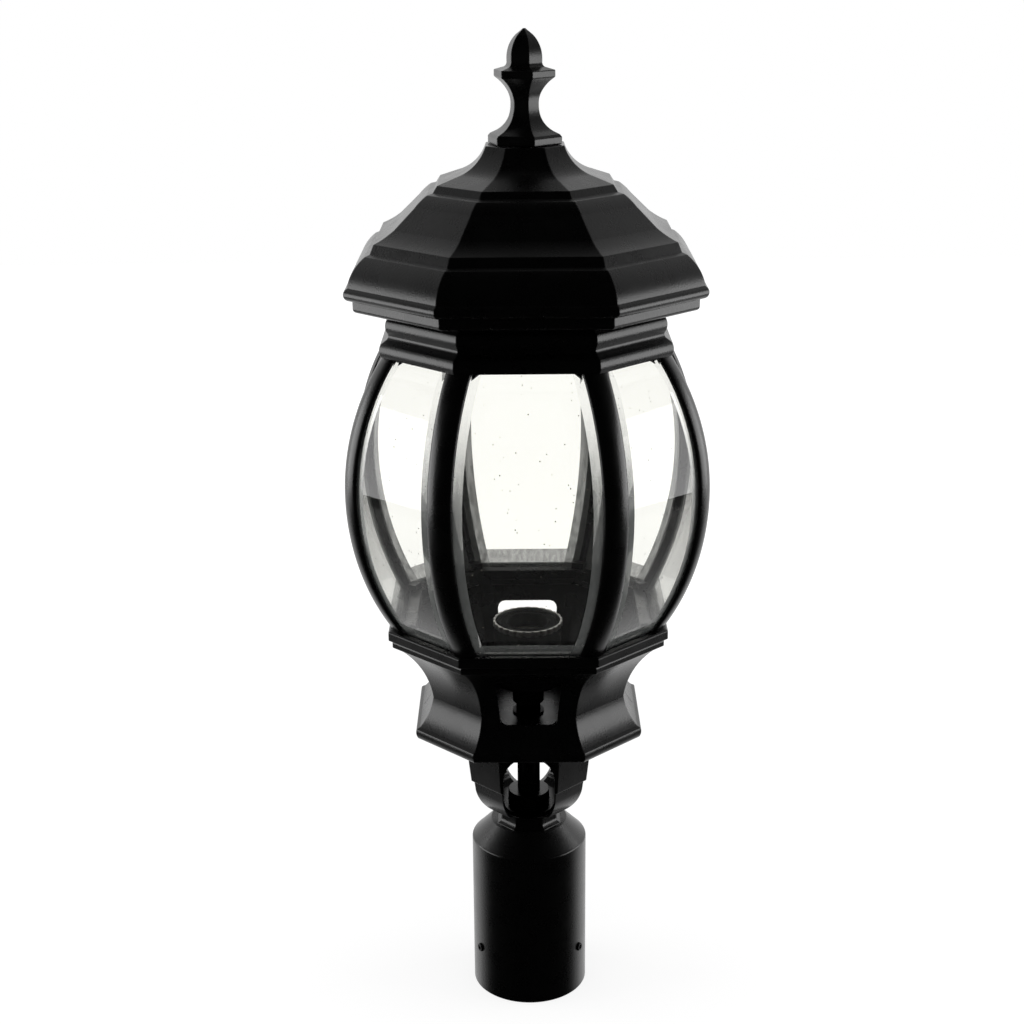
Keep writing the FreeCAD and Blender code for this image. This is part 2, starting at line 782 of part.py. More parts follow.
def make_cage_screws_lower():
    """Eight screws up through the pedestal's flange and the ring into the ribs."""
    seat = lower_ring_base - pedestal_flange
    end = rib_base + lug_height - screw_end_gap
    return Part.makeCompound([cage_screw(p, seat, end) for p in foot_screw_places()])


def make_cage_screws_upper():
    """Eight screws down through the frieze's shelf into the ribs."""
    seat = upper_ring_base + upper_ring_shelf
    end = upper_ring_base - lug_height + screw_end_gap
    return Part.makeCompound([cage_screw(p, seat, end) for p in head_screw_places()])


# ---------------------------------------------------------------- roof
def roof_opening():
    """Main side of the opening in the roof's underside."""
    return upper_ring_cove - 2.8


def make_roof():
    """Two-tier casting: the core is the outer form moved in and down by the wall."""
    base = roof_base
    wall = roof_wall
    eave = roof_eave
    body = mitred(outline(
        (roof_fascia - 2.3, base), ((roof_fascia - 0.6, base + 1.1), (roof_fascia - 0.1, base + 3.1)),
        (roof_fascia, base + roof_fascia_height), (eave - 2.6, base + roof_fascia_height),
        ((eave, base + 12.1), (eave - 1.7, base + roof_bead_height)),
        (eave - 2.4, base + roof_bead_height + 0.5),
        *roof_tiers(0.0)), OCTAGON)
    opening = roof_opening()
    core = mitred(outline(
        (opening, base - 1.0), (opening, base + roof_soffit), (roof_fascia - wall, base + roof_soffit),
        (roof_fascia - wall, base + roof_fascia_height),
        (eave - 2.4 - wall, base + roof_bead_height + 0.5 - wall),
        *roof_tiers(wall)), OCTAGON)
    return body.cut(core).cut(rod(roof_stud_hole, roof_top - 2.0 * wall, roof_top + 1.0))


def roof_tiers(inset):
    """The roof's outline from the bead to the crown, moved in and down by inset."""
    ovolo_middle = (roof_eave - 5.9, 25.6)
    points = [
        (ovolo_middle, (roof_shelf, roof_shelf_height)), (roof_rim_low, roof_rim_low_height),
        (roof_tier, roof_tier_height), ((roof_tier - 7.3, 45.9), (roof_tier - 12.9, 50.0)),
        (roof_tier - 25.6, 62.8),
        ((roof_rim_high + 7.5, 67.0), (roof_rim_high + 3.6, 70.2)), (roof_rim_high, roof_rim_high_height),
        (roof_crown_foot, roof_crown_foot_height), (roof_crown_foot - 12.2, roof_crown_foot_height + 4.5),
        ((roof_crown + 6.0, roof_height - 10.6), (roof_crown, roof_height))]
    return [moved(step, -inset, roof_base - inset) for step in points]


def moved(step, across, up):
    """A step of an outline, shifted."""
    if isinstance(step[0], tuple):
        return tuple(moved(point, across, up) for point in step)
    return (step[0] + across, step[1] + up)


# ---------------------------------------------------------------- strap, stud and finial
def strap_screw_places():
    """Where the strap's two screws stand along X."""
    return (strap_screw_inset - strap_half, strap_half - strap_screw_inset)


def make_roof_strap():
    """Flat bar across the cage that carries the stud."""
    half_width = 0.5 * strap_width
    bar = box(-strap_half, strap_half, -half_width, half_width, strap_base, strap_base + strap_thickness)
    holes = [rod(stud_radius + thread_gap, strap_base - 1.0, strap_base + strap_thickness + 1.0)]
    hole = strap_screw_radius + thread_gap
    top = strap_base + strap_thickness
    holes += [rod(hole, strap_base - 1.0, top + 1.0, x, 0) for x in strap_screw_places()]
    return bar.cut(holes)


def make_strap_screws():
    """Two pan-head screws that hold the strap to the frieze's lugs."""
    top = strap_base + strap_thickness
    screws = []
    for x in strap_screw_places():
        shank = rod(strap_screw_radius, strap_base - strap_screw_depth, top, x, 0)
        screws.append(fused(shank, rod(strap_head_radius, top, top + strap_head_height, x, 0)))
    return Part.makeCompound(screws)


def make_finial_stud():
    """Threaded rod from the strap up through the roof into the finial."""
    return rod(stud_radius, stud_foot - stud_tail, stud_head)


def make_stud_nuts():
    """Nuts that lock the stud to the strap, one below and one above."""
    nuts = []
    for low in (stud_foot, strap_base + strap_thickness):
        nut = hexagon(stud_nut_flats, low, low + stud_nut_height)
        nuts.append(nut.cut(rod(stud_radius + thread_gap, low - 1.0, low + stud_nut_height + 1.0)))
    return Part.makeCompound(nuts)


def make_finial():
    """Six-sided knob: base plate, waisted neck, collar and a bulb with a rounded tip."""
    base = finial_seat
    waist = base + finial_waist_height
    collar = base + finial_collar_height
    tip = base + finial_height
    body = mitred(outline(
        (finial_base - 0.5, base), (finial_base, base + 0.5), (finial_base, base + 4.5),
        (finial_base - 1.4, base + 6.1), (finial_base - 5.6, base + 8.0),
        ((finial_waist + 4.4, base + 12.0), (finial_waist + 1.4, base + 16.6)),
        ((finial_waist + 0.2, base + 21.2), (finial_waist, waist)),
        ((finial_waist + 0.5, waist + 5.0), (finial_waist + 2.6, waist + 9.6)),
        ((finial_waist + 5.7, waist + 13.5), (finial_collar - 0.6, collar - 2.6)),
        (finial_collar, collar - 1.8), (finial_collar, collar + 2.1), (finial_collar - 5.8, collar + 3.7),
        ((finial_bulb + 0.5, collar + 5.0), (finial_bulb, collar + 7.2)), (finial_bulb, collar + 9.6),
        ((finial_bulb - 1.4, collar + 16.6), (finial_bulb - 6.2, collar + 23.7)), (0.8, tip)),
        regular(finial_sides, finial_turn))
    return body.cut(rod(stud_radius + running_gap, base - 1.0, stud_head + finial_bore_spare))


# ---------------------------------------------------------------- lampholder
def make_lampholder_foot():
    """Threaded foot between the nut and the cup."""
    return revolved(
        (tube_hole, holder_foot_base), (holder_foot_radius - 1.5, holder_foot_base),
        (holder_foot_radius, holder_foot_base + 1.5), (holder_foot_radius, holder_base - 3.0),
        (holder_foot_radius + 2.0, holder_base), (tube_hole, holder_base), (tube_hole, holder_foot_base))


def make_lampholder_cup():
    """Drawn metal cup."""
    inner = holder_radius - holder_wall
    floor = holder_base + holder_floor
    return revolved(
        (tube_hole, holder_base), (holder_radius - 3.0, holder_base),
        ((holder_radius - 0.9, holder_base + 0.9), (holder_radius, holder_base + 3.0)),
        (holder_radius, holder_top),
        (inner, holder_top), (inner, floor), (tube_hole, floor), (tube_hole, holder_base))


def make_lampholder_rim():
    """Ring on the cup with finger notches round its edge."""
    body = ring(holder_rim_radius, holder_rim_inner, holder_top, rim_top)
    notches = []
    for i in range(holder_rim_teeth):
        centre = turned(V(0, -holder_rim_radius - 0.3 * holder_rim_notch, 0), 360.0 * i / holder_rim_teeth)
        notches.append(rod(holder_rim_notch, holder_top - 1.0, rim_top + 1.0, centre.x, centre.y))
    return body.cut(notches)


def make_lampholder_insert():
    """Insulating body: the lamp's well with a ledge for the shell, and a space behind."""
    foot = holder_base + holder_floor
    outer = holder_radius - holder_wall - seat_gap
    ledge = shell_radius - 0.5 * shell_thickness
    body = rod(outer, foot, insert_face)
    return body.cut([
        rod(insert_mouth, shell_foot, insert_face + 1.0),
        rod(ledge, insert_well, insert_face),
        rod(insert_back_radius, foot - 1.0, foot + insert_back_depth)])


def make_lampholder_shell():
    """Thin screw shell that stands on the well's ledge, clear of the contact."""
    return ring(shell_radius, shell_radius - shell_thickness, shell_foot, insert_face - shell_inset)


def make_lampholder_contact():
    """Sprung centre contact on the well's floor."""
    well = insert_well
    return revolved(
        (0, well), (contact_radius, well), (contact_radius, well + 0.8),
        (contact_radius - 2.4, well + contact_height), (0, well + contact_height), (0, well))


def make_earth_screw():
    """Earth terminal on the pedestal's floor."""
    x, y = earth_screw_place
    shank = rod(earth_screw_radius, pedestal_base + 0.3, floor_top, x, y)
    head = rod(earth_screw_head, floor_top, floor_top + earth_screw_head_height, x, y)
    slot = box(x - 5.0, x + 5.0, y - 0.5, y + 0.5, floor_top + earth_screw_head_height - 1.3,
               floor_top + earth_screw_head_height + 1.0)
    return fused(shank, head).cut(slot)


# ---------------------------------------------------------------- every piece
def build():
    """Fill pieces, one entry per sub-part."""
    pieces["post_fitter"] = make_post_fitter()
    for i, bearing in enumerate(set_screw_bearings):
        pieces["set_screw_%d" % (i + 1)] = make_set_screw(bearing)
    pieces["neck_cup"] = make_neck_cup()
    pieces["neck_disc"] = ring(neck_boss_radius, tube_hole, disc_base, sleeve_base)
    pieces["stem_sleeve"] = ring(sleeve_radius, tube_radius + sleeve_gap, sleeve_base, pedestal_base)
    pieces["lamp_tube"] = make_lamp_tube()
    pieces["tube_nuts"] = make_tube_nuts()
    pieces["tube_washers"] = make_tube_washers()
    pieces["base_pedestal"] = make_base_pedestal()
    pieces["earth_screw"] = make_earth_screw()
    pieces["cage_bottom_ring"] = make_cage_bottom_ring()
    rib = make_rib()
    mirrored = rib.mirror(V(0, 0, 0), V(1, 0, 0))
    for turn in range(4):
        pieces["rib_%d" % (2 * turn + 1)] = about_axis(rib, 90.0 * turn)
        pieces["rib_%d" % (2 * turn + 2)] = about_axis(mirrored, 90.0 * turn + 90.0)
    main = make_pane(1.0, main_angle, pane_flat_main)
    diagonal = make_pane(diagonal_reach, diagonal_angle, pane_flat_diagonal)
    sides = ("front", "right", "rear", "left")
    for turn, side in enumerate(sides):
        pieces["pane_%s" % side] = about_axis(main, 90.0 * turn)
        pieces["pane_%s_%s" % (side, sides[(turn + 1) % 4])] = about_axis(diagonal, 90.0 * turn + 45.0)
    pieces["glass_clips"] = make_glass_clips()
    pieces["cage_screws_lower"] = make_cage_screws_lower()
    pieces["cage_screws_upper"] = make_cage_screws_upper()
    pieces["cage_top_ring"] = make_cage_top_ring()
    pieces["roof_strap"] = make_roof_strap()
    pieces["strap_screws"] = make_strap_screws()
    pieces["finial_stud"] = make_finial_stud()
    pieces["stud_nuts"] = make_stud_nuts()
    pieces["roof"] = make_roof()
    pieces["finial"] = make_finial()
    pieces["lampholder_foot"] = make_lampholder_foot()
    pieces["lampholder_cup"] = make_lampholder_cup()
    pieces["lampholder_rim"] = make_lampholder_rim()
    pieces["lampholder_insert"] = make_lampholder_insert()
    pieces["lampholder_shell"] = make_lampholder_shell()
    pieces["lampholder_contact"] = make_lampholder_contact()


def export():
    """Write one STEP file per sub-part."""
    os.makedirs("parts", exist_ok=True)
    for name, shape in pieces.items():
        shape.exportStep("parts/%s.step" % name)
        facts = (name, len(shape.Solids), shape.Volume, shape.isValid())
        print("%-20s solids %2d  volume %9.0f  valid %s" % facts)


build()
export()
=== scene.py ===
"""Post top lantern: black powder-coated castings round eight bowed, bevelled panes.

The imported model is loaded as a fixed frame. Castings, ribs, panes, threads and the knob
are worked out again as fine surfaces, with the small radii that a casting and its coat
have, and each stands exactly where its plain solid stands. Lengths are millimetres and
turn to metres when a mesh is made.
"""
from __future__ import annotations

import json
import logging
import math
import sys
from dataclasses import dataclass
from enum import Enum
from typing import Any, Sequence

import bpy
import numpy as np
from mathutils import Matrix

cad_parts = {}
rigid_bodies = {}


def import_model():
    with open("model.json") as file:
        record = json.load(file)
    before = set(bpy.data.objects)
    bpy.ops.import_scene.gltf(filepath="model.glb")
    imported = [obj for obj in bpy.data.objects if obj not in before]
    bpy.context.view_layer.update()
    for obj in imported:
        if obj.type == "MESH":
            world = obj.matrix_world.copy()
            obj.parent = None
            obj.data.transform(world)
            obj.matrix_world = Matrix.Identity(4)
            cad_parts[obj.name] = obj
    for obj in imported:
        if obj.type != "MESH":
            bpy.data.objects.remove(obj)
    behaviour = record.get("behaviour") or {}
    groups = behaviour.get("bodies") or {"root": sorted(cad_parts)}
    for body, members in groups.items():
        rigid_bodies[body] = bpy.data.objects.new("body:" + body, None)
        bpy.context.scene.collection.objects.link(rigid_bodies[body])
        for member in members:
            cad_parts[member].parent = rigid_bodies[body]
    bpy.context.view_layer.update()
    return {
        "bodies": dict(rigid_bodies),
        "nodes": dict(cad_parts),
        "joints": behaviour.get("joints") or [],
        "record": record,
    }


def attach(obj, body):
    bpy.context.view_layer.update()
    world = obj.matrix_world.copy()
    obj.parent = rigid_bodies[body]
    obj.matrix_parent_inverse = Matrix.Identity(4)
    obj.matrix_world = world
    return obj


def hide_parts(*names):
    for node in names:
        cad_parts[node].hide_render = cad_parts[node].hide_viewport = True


LOG = logging.getLogger("lantern")
MM = 0.001
WHITE = (1.0, 1.0, 1.0, 1.0)
SHARP = 38.0                            # an edge that turns more degrees stays sharp
TURN = 2.0 * math.pi
SIDE_RATIO = 0.48                       # half width of a main side over its distance
CORNER_REACH = math.hypot(1.0, SIDE_RATIO)
MAIN_ANGLE = math.atan(SIDE_RATIO)
DIAGONAL_ANGLE = math.radians(45.0) - MAIN_ANGLE
DIAGONAL_REACH = (1.0 + SIDE_RATIO) / math.sqrt(2.0)

Face = tuple[int, ...]
Point = tuple[float, float]


# ------------------------------------------------------------------ colour and nodes
def linear(hex_colour: str) -> tuple[float, float, float, float]:
    """Turn an sRGB hex colour into Blender's linear colour.

    Args:
        hex_colour: six hexadecimal digits after a hash sign.

    Returns:
        Linear red, green and blue, and an alpha of one.
    """
    parts = [int(hex_colour[i:i + 2], 16) / 255.0 for i in (1, 3, 5)]
    low = [c / 12.92 if c <= 0.04045 else ((c + 0.055) / 1.055) ** 2.4 for c in parts]
    return (low[0], low[1], low[2], 1.0)


def add_node(tree: Any, kind: str, settings: dict[str, Any] | None = None,
             links: dict[str, Any] | None = None) -> Any:
    """Add a node, set its properties and inputs, and link other sockets into it.

    Args:
        tree: node tree that takes the node.
        kind: Blender's name of the node type.
        settings: attribute names, or input names or numbers after "in:", with values.
        links: input names or numbers with the sockets that feed them.

    Returns:
        The new node.
    """
    node = tree.nodes.new(kind)
    for name, value in (settings or {}).items():
        if name.startswith("in:"):
            key = name[3:]
            node.inputs[int(key) if key.isdigit() else key].default_value = value
        else:
            setattr(node, name, value)
    for name, socket in (links or {}).items():
        tree.links.new(socket, node.inputs[int(name) if name.isdigit() else name])
    return node


def new_tree(name: str) -> tuple[bpy.types.Material, Any, Any, Any]:
    """Make an empty node material that reads Object coordinates.

    Args:
        name: name of the finish.

    Returns:
        The material, its node tree, its output node and the Object coordinate socket.
    """
    material = bpy.data.materials.new(name)
    material.use_nodes = True
    tree = material.node_tree
    tree.nodes.clear()
    place = add_node(tree, "ShaderNodeTexCoord").outputs["Object"]
    return material, tree, tree.nodes.new("ShaderNodeOutputMaterial"), place


# ------------------------------------------------------------------ finishes
@dataclass(frozen=True)
class PowderCoat:
    """Satin black polyester powder coat on cast aluminium.

    The powder melts into a skin with a slight orange peel, about 1.2 mm from crest to
    crest, over the softer unevenness of the casting. It rounds every arris, so edges
    take a thin line of light.
    """
    name: str = "black_powder_coat"
    colour: str = "#020202"
    thin_colour: str = "#050505"         # where the coat pulls thin
    roughness: float = 0.27
    peel_mm: float = 1.2
    cast_mm: float = 14.0
    arris_mm: float = 0.6
    cast_lift_mm: float = 0.25
    peel_lift_mm: float = 0.1

    def build(self) -> bpy.types.Material:
        """Build the material from the sizes above.

        Returns:
            The material.
        """
        material, tree, out, place = new_tree(self.name)
        peel = add_node(tree, "ShaderNodeTexNoise", {
            "in:Scale": 1.0 / (self.peel_mm * MM), "in:Detail": 2.0, "in:Roughness": 0.5},
            {"Vector": place})
        cast = add_node(tree, "ShaderNodeTexNoise", {
            "in:Scale": 1.0 / (self.cast_mm * MM), "in:Detail": 3.0}, {"Vector": place})
        tone = add_node(tree, "ShaderNodeMix", {
            "data_type": "RGBA", "in:6": linear(self.colour), "in:7": linear(self.thin_colour)},
            {"0": cast.outputs["Fac"]})
        rough = add_node(tree, "ShaderNodeMapRange", {
            "in:3": self.roughness - 0.05, "in:4": self.roughness + 0.07}, {"0": cast.outputs["Fac"]})
        arris = add_node(tree, "ShaderNodeBevel", {"samples": 4, "in:Radius": self.arris_mm * MM})
        wave = add_node(tree, "ShaderNodeBump", {"in:Strength": 0.2, "in:Distance": self.cast_lift_mm * MM}, {
            "Height": cast.outputs["Fac"], "Normal": arris.outputs["Normal"]})
        grain = add_node(tree, "ShaderNodeBump", {
            "in:Strength": 0.7, "in:Distance": self.peel_lift_mm * MM}, {
            "Height": peel.outputs["Fac"], "Normal": wave.outputs["Normal"]})
        shader = add_node(tree, "ShaderNodeBsdfPrincipled", {"in:IOR": 1.5}, {
            "Base Color": tone.outputs[2], "Roughness": rough.outputs[0],
            "Normal": grain.outputs["Normal"]})
        tree.links.new(shader.outputs[0], out.inputs["Surface"])
        return material


@dataclass(frozen=True)
class ClearGlass:
    """Clear soda-lime glass, bent over a mould and bevelled on a wheel.

    A trace of iron and dust gives it a faint warm tone, and small specks cling to it.
    Bending leaves a slow wave, some 45 mm long, that only refraction shows. The bevels
    take a painted shade, a grey that stands for the dark they refract, streaked upright and
    stronger towards the foot; a float attribute of each face says how much of it the face takes.
    """
    name: str = "clear_bevelled_glass"
    colour: str = "#fefefb"
    speck: str = "#6d6a60"
    wave_mm: float = 45.0
    wave_lift_mm: float = 0.4
    speck_mm: float = 8.0                # from one speck to the next
    speck_edge_mm: float = 1.6           # coarser than real dust, so that it shows
    speck_reach: float = 0.1
    # painted shade on the bevels: its grey, its share, its streaks, and the heights over which it is full and
    # fades
    painted_bevel_shade: str = "#626463"
    painted_shade_share: float = 0.85
    streak_mm: float = 3.0
    painted_shade_low: float = 0.39              # metres above the floor: full up to here
    painted_shade_high: float = 0.47             # and nearly gone from here

    def build(self) -> bpy.types.Material:
        """Build the material from the sizes above.

        Returns:
            The material.
        """
        material, tree, out, place = new_tree(self.name)
        wave = add_node(tree, "ShaderNodeTexNoise", {
            "in:Scale": 1.0 / (self.wave_mm * MM), "in:Detail": 1.0}, {"Vector": place})
        bump = add_node(tree, "ShaderNodeBump", {
            "in:Strength": 0.12, "in:Distance": self.wave_lift_mm * MM}, {
            "Height": wave.outputs["Fac"]})
        cells = add_node(tree, "ShaderNodeTexVoronoi", {
            "in:Scale": 1.0 / (self.speck_mm * MM), "in:Randomness": 1.0}, {"Vector": place})
        shape = add_node(tree, "ShaderNodeTexNoise", {
            "in:Scale": 1.0 / (self.speck_edge_mm * MM), "in:Detail": 2.0}, {"Vector": place})
        spread = add_node(tree, "ShaderNodeMath", {"operation": "MULTIPLY", "in:1": self.speck_reach}, {
            "0": shape.outputs["Fac"]})
        speck = add_node(tree, "ShaderNodeMath", {"operation": "LESS_THAN"}, {
            "0": cells.outputs["Distance"], "1": spread.outputs[0]})
        clear = add_node(tree, "ShaderNodeBsdfPrincipled", {
            "in:Base Color": linear(self.colour), "in:Transmission Weight": 1.0, "in:IOR": 1.5,
            "in:Roughness": 0.0}, {"Normal": bump.outputs["Normal"]})
        dust = add_node(tree, "ShaderNodeBsdfPrincipled", {
            "in:Base Color": linear(self.speck), "in:Roughness": 0.9})
        mix = add_node(tree, "ShaderNodeMixShader", {}, {
            "0": speck.outputs[0], "1": clear.outputs[0], "2": dust.outputs[0]})
        # painted shade on the bevels: upright streaks, stronger towards the foot, weighted by each face's
        # attribute
        long = add_node(tree, "ShaderNodeMapping", {"in:Scale": (1.0, 1.0, 0.02)}, {"Vector": place})
        streak = add_node(tree, "ShaderNodeTexNoise", {
            "in:Scale": 1.0 / (self.streak_mm * MM), "in:Detail": 2.0}, {"Vector": long.outputs[0]})
        share = add_node(tree, "ShaderNodeMapRange", {
            "in:1": 0.35, "in:2": 0.65, "in:3": self.painted_shade_share - 0.08, "in:4": self.painted_shade_share + 0.06},
            {"0": streak.outputs["Fac"]})
        height = add_node(tree, "ShaderNodeSeparateXYZ", {}, {"0": place})
        towards_foot = add_node(tree, "ShaderNodeMapRange", {
            "interpolation_type": "SMOOTHSTEP", "in:1": self.painted_shade_low, "in:2": self.painted_shade_high, "in:3": 1.0,
            "in:4": 0.1}, {"0": height.outputs["Z"]})
        deep = add_node(tree, "ShaderNodeMath", {"operation": "MULTIPLY"}, {
            "0": share.outputs[0], "1": towards_foot.outputs[0]})
        painted_shade_weight = add_node(tree, "ShaderNodeAttribute", {"attribute_name": "painted_shade_weight"})
        painted_bevel_shade = add_node(tree, "ShaderNodeMath", {"operation": "MULTIPLY"}, {
            "0": painted_shade_weight.outputs["Fac"], "1": deep.outputs[0]})
        # the grey painted over the bevels as shade
        painted_shade_bsdf = add_node(tree, "ShaderNodeBsdfPrincipled", {
            "in:Base Color": linear(self.painted_bevel_shade), "in:Roughness": 0.25})
        bevelled = add_node(tree, "ShaderNodeMixShader", {}, {
            "0": painted_bevel_shade.outputs[0], "1": mix.outputs[0], "2": painted_shade_bsdf.outputs[0]})
        tree.links.new(bevelled.outputs[0], out.inputs["Surface"])
        return material


@dataclass(frozen=True)
class Metal:
    """A plated, blackened or bare metal part, turned, pressed or rolled.

    Fine tool marks run round it; their pitch is drawn coarser than real, so that it shows.
    """
    name: str
    colour: str
    shade: str
    roughness: float
    mark_mm: float = 1.2
    mark_lift_mm: float = 0.03
    arris_mm: float = 0.25

    def build(self) -> bpy.types.Material:
        """Build the material from the sizes above.

        Returns:
            The material.
        """
        material, tree, out, place = new_tree(self.name)
        stretch = add_node(tree, "ShaderNodeMapping", {"in:Scale": (1.0, 1.0, 6.0)}, {"Vector": place})
        marks = add_node(tree, "ShaderNodeTexNoise", {
            "in:Scale": 1.0 / (self.mark_mm * 2.0 * MM), "in:Detail": 4.0}, {"Vector": stretch.outputs[0]})
        tone = add_node(tree, "ShaderNodeMix", {
            "data_type": "RGBA", "in:6": linear(self.shade), "in:7": linear(self.colour)},
            {"0": marks.outputs["Fac"]})
        rough = add_node(tree, "ShaderNodeMapRange", {
            "in:3": self.roughness - 0.06, "in:4": self.roughness + 0.1}, {"0": marks.outputs["Fac"]})
        arris = add_node(tree, "ShaderNodeBevel", {"samples": 4, "in:Radius": self.arris_mm * MM})
        bump = add_node(tree, "ShaderNodeBump", {"in:Strength": 0.2, "in:Distance": self.mark_lift_mm * MM}, {
            "Height": marks.outputs["Fac"], "Normal": arris.outputs["Normal"]})
        shader = add_node(tree, "ShaderNodeBsdfPrincipled", {"in:Metallic": 1.0}, {
            "Base Color": tone.outputs[2], "Roughness": rough.outputs[0],
            "Normal": bump.outputs["Normal"]})
        tree.links.new(shader.outputs[0], out.inputs["Surface"])
        return material


@dataclass(frozen=True)
class Thermoset:
    """Black phenolic, moulded under heat and filled with wood flour.

    The filler dulls the skin to half matt and shows as a fine mottle.
    """
    name: str = "black_phenolic"
    colour: str = "#020202"
    light: str = "#121211"
    mottle_mm: float = 1.6
    mottle_lift_mm: float = 0.04

    def build(self) -> bpy.types.Material:
        """Build the material from the sizes above.

        Returns:
            The material.
        """
        material, tree, out, place = new_tree(self.name)
        mottle = add_node(tree, "ShaderNodeTexNoise", {
            "in:Scale": 1.0 / (self.mottle_mm * MM), "in:Detail": 3.0}, {"Vector": place})
        tone = add_node(tree, "ShaderNodeMix", {
            "data_type": "RGBA", "in:6": linear(self.colour), "in:7": linear(self.light)},
            {"0": mottle.outputs["Fac"]})
        bump = add_node(tree, "ShaderNodeBump", {
            "in:Strength": 0.2, "in:Distance": self.mottle_lift_mm * MM}, {
            "Height": mottle.outputs["Fac"]})
        shader = add_node(tree, "ShaderNodeBsdfPrincipled", {
            "in:Roughness": 0.7, "in:IOR": 1.5, "in:Specular IOR Level": 0.25}, {
            "Base Color": tone.outputs[2], "Normal": bump.outputs["Normal"]})
        tree.links.new(shader.outputs[0], out.inputs["Surface"])
        return material


class Finish(Enum):
    """Every finish on the lantern."""
    COAT = PowderCoat()
    GLASS = ClearGlass()
    # steel, zinc electroplated and cleared: cool light grey with a soft shine
    ZINC = Metal("bright_zinc_steel", "#b9bbba", "#8f918f", 0.32)
    # steel, zinc plated and black passivated: nearly black, a dull sheen on the crests
    BLACK_ZINC = Metal("black_zinc_steel", "#1c1c1d", "#0d0d0e", 0.4)
    # spring and set-screw steel, blackened in hot salts: soft charcoal
    OXIDE = Metal("black_oxide_steel", "#2a2a2b", "#171718", 0.42)
    # drawn brass, nickel plated: warm silver, finely brushed by the drawing
    NICKEL = Metal("nickel_plate", "#d4d3cf", "#b2b1ad", 0.34)
    # turned or pressed brass left bare: dull yellow with bright tool marks
    BRASS = Metal("bare_brass", "#c9a35a", "#9c7b3c", 0.3)
    PHENOLIC = Thermoset()


# ------------------------------------------------------------------ outlines
def arc_points(start: np.ndarray, middle: np.ndarray, end: np.ndarray, count: int) -> np.ndarray:
    """Points on the circle through three points.

    The centre lies where the bisectors of the two chords meet; the angle then runs
    evenly from start to end by way of the middle.

    Args:
        start: first point.
        middle: a point that the arc passes.
        end: last point.
        count: number of steps.

    Returns:
        Array of count points after the start, the end included.
    """
    chords = np.array([middle - start, end - start])
    centre = start + np.linalg.solve(chords, 0.5 * (chords ** 2).sum(axis=1))
    angles = [math.atan2(p[1] - centre[1], p[0] - centre[0]) for p in (start, middle, end)]
    sweep = (angles[2] - angles[0]) % TURN
    if (angles[1] - angles[0]) % TURN > sweep:
        sweep -= TURN
    turn = angles[0] + sweep * np.arange(1, count + 1) / count
    return centre + np.hypot(*(start - centre)) * np.stack([np.cos(turn), np.sin(turn)], axis=1)


def drawn(start: Point, *steps: Any, arc_steps: int = 12) -> np.ndarray:
    """Polyline through lines and arcs.

    Args:
        start: first point, distance from the axis and height.
        steps: each a point for a line, or (point on an arc, its end).
        arc_steps: points on each arc.

    Returns:
        Array of points.
    """
    out = [np.array([start], dtype=float)]
    for step in steps:
        here = out[-1][-1]
        if isinstance(step[0], tuple):
            out.append(arc_points(here, np.array(step[0], float), np.array(step[1], float), arc_steps))
        else:
            out.append(np.array([step], dtype=float))
    return np.concatenate(out)


def eased(points: np.ndarray, radius: float, closed: bool, count: int = 4, least: float = 14.0) -> np.ndarray:
    """Round each corner of a polyline that turns more than a few degrees.

    A corner gives way to a quadratic curve. Its legs are the radius times the tangent
    of half the turn, and at most 0.42 of the neighbouring run.

    Args:
        points: polyline.
        radius: rounding radius.
        closed: whether the last point joins the first.
        count: points on each rounding.
        least: smallest turn in degrees that is rounded.

    Returns:
        The rounded polyline.
    """
    before = np.roll(points, 1, axis=0) - points
    after = np.roll(points, -1, axis=0) - points
    run_in = np.linalg.norm(before, axis=1)
    run_out = np.linalg.norm(after, axis=1)
    unit_in = before / run_in[:, None]
    unit_out = after / run_out[:, None]
    turn = np.pi - np.arccos(np.clip((unit_in * unit_out).sum(axis=1), -1.0, 1.0))
    leg = np.minimum(radius * np.tan(0.5 * np.minimum(turn, 2.6)), 0.42 * np.minimum(run_in, run_out))
    rounds = turn > math.radians(least)
    if not closed:
        rounds[0] = rounds[-1] = False
    t = np.linspace(0.0, 1.0, count)[:, None]
    out = []
    for i, point in enumerate(points):
        if rounds[i]:
            a = point + unit_in[i] * leg[i]
            b = point + unit_out[i] * leg[i]
            out.append((1 - t) ** 2 * a + 2 * t * (1 - t) * point + t ** 2 * b)
        else:
            out.append(point[None, :])
    return np.concatenate(out)


# ------------------------------------------------------------------ surfaces
@dataclass(frozen=True)
class Shell:
    """A closed surface: points in millimetres and the corner numbers of its faces."""
    points: np.ndarray
    faces: list[Face]

    def moved(self, turn: float = 0.0, mirror: bool = False,
              shift: Sequence[float] = (0.0, 0.0, 0.0)) -> "Shell":
        """Copy the shell, shifted, then mirrored in X, then turned about the axis.

        Args:
            turn: degrees about the upright axis.
            mirror: whether X changes sign, which turns the faces over too.
            shift: added to every point first.

        Returns:
            The copy.
        """
        points = self.points + np.array(shift)
        faces = self.faces
        if mirror:
            points = points * np.array([-1.0, 1.0, 1.0])
            faces = [face[::-1] for face in faces]
        c, s = math.cos(math.radians(turn)), math.sin(math.radians(turn))
        return Shell(points @ np.array([[c, s, 0.0], [-s, c, 0.0], [0.0, 0.0, 1.0]]), faces)


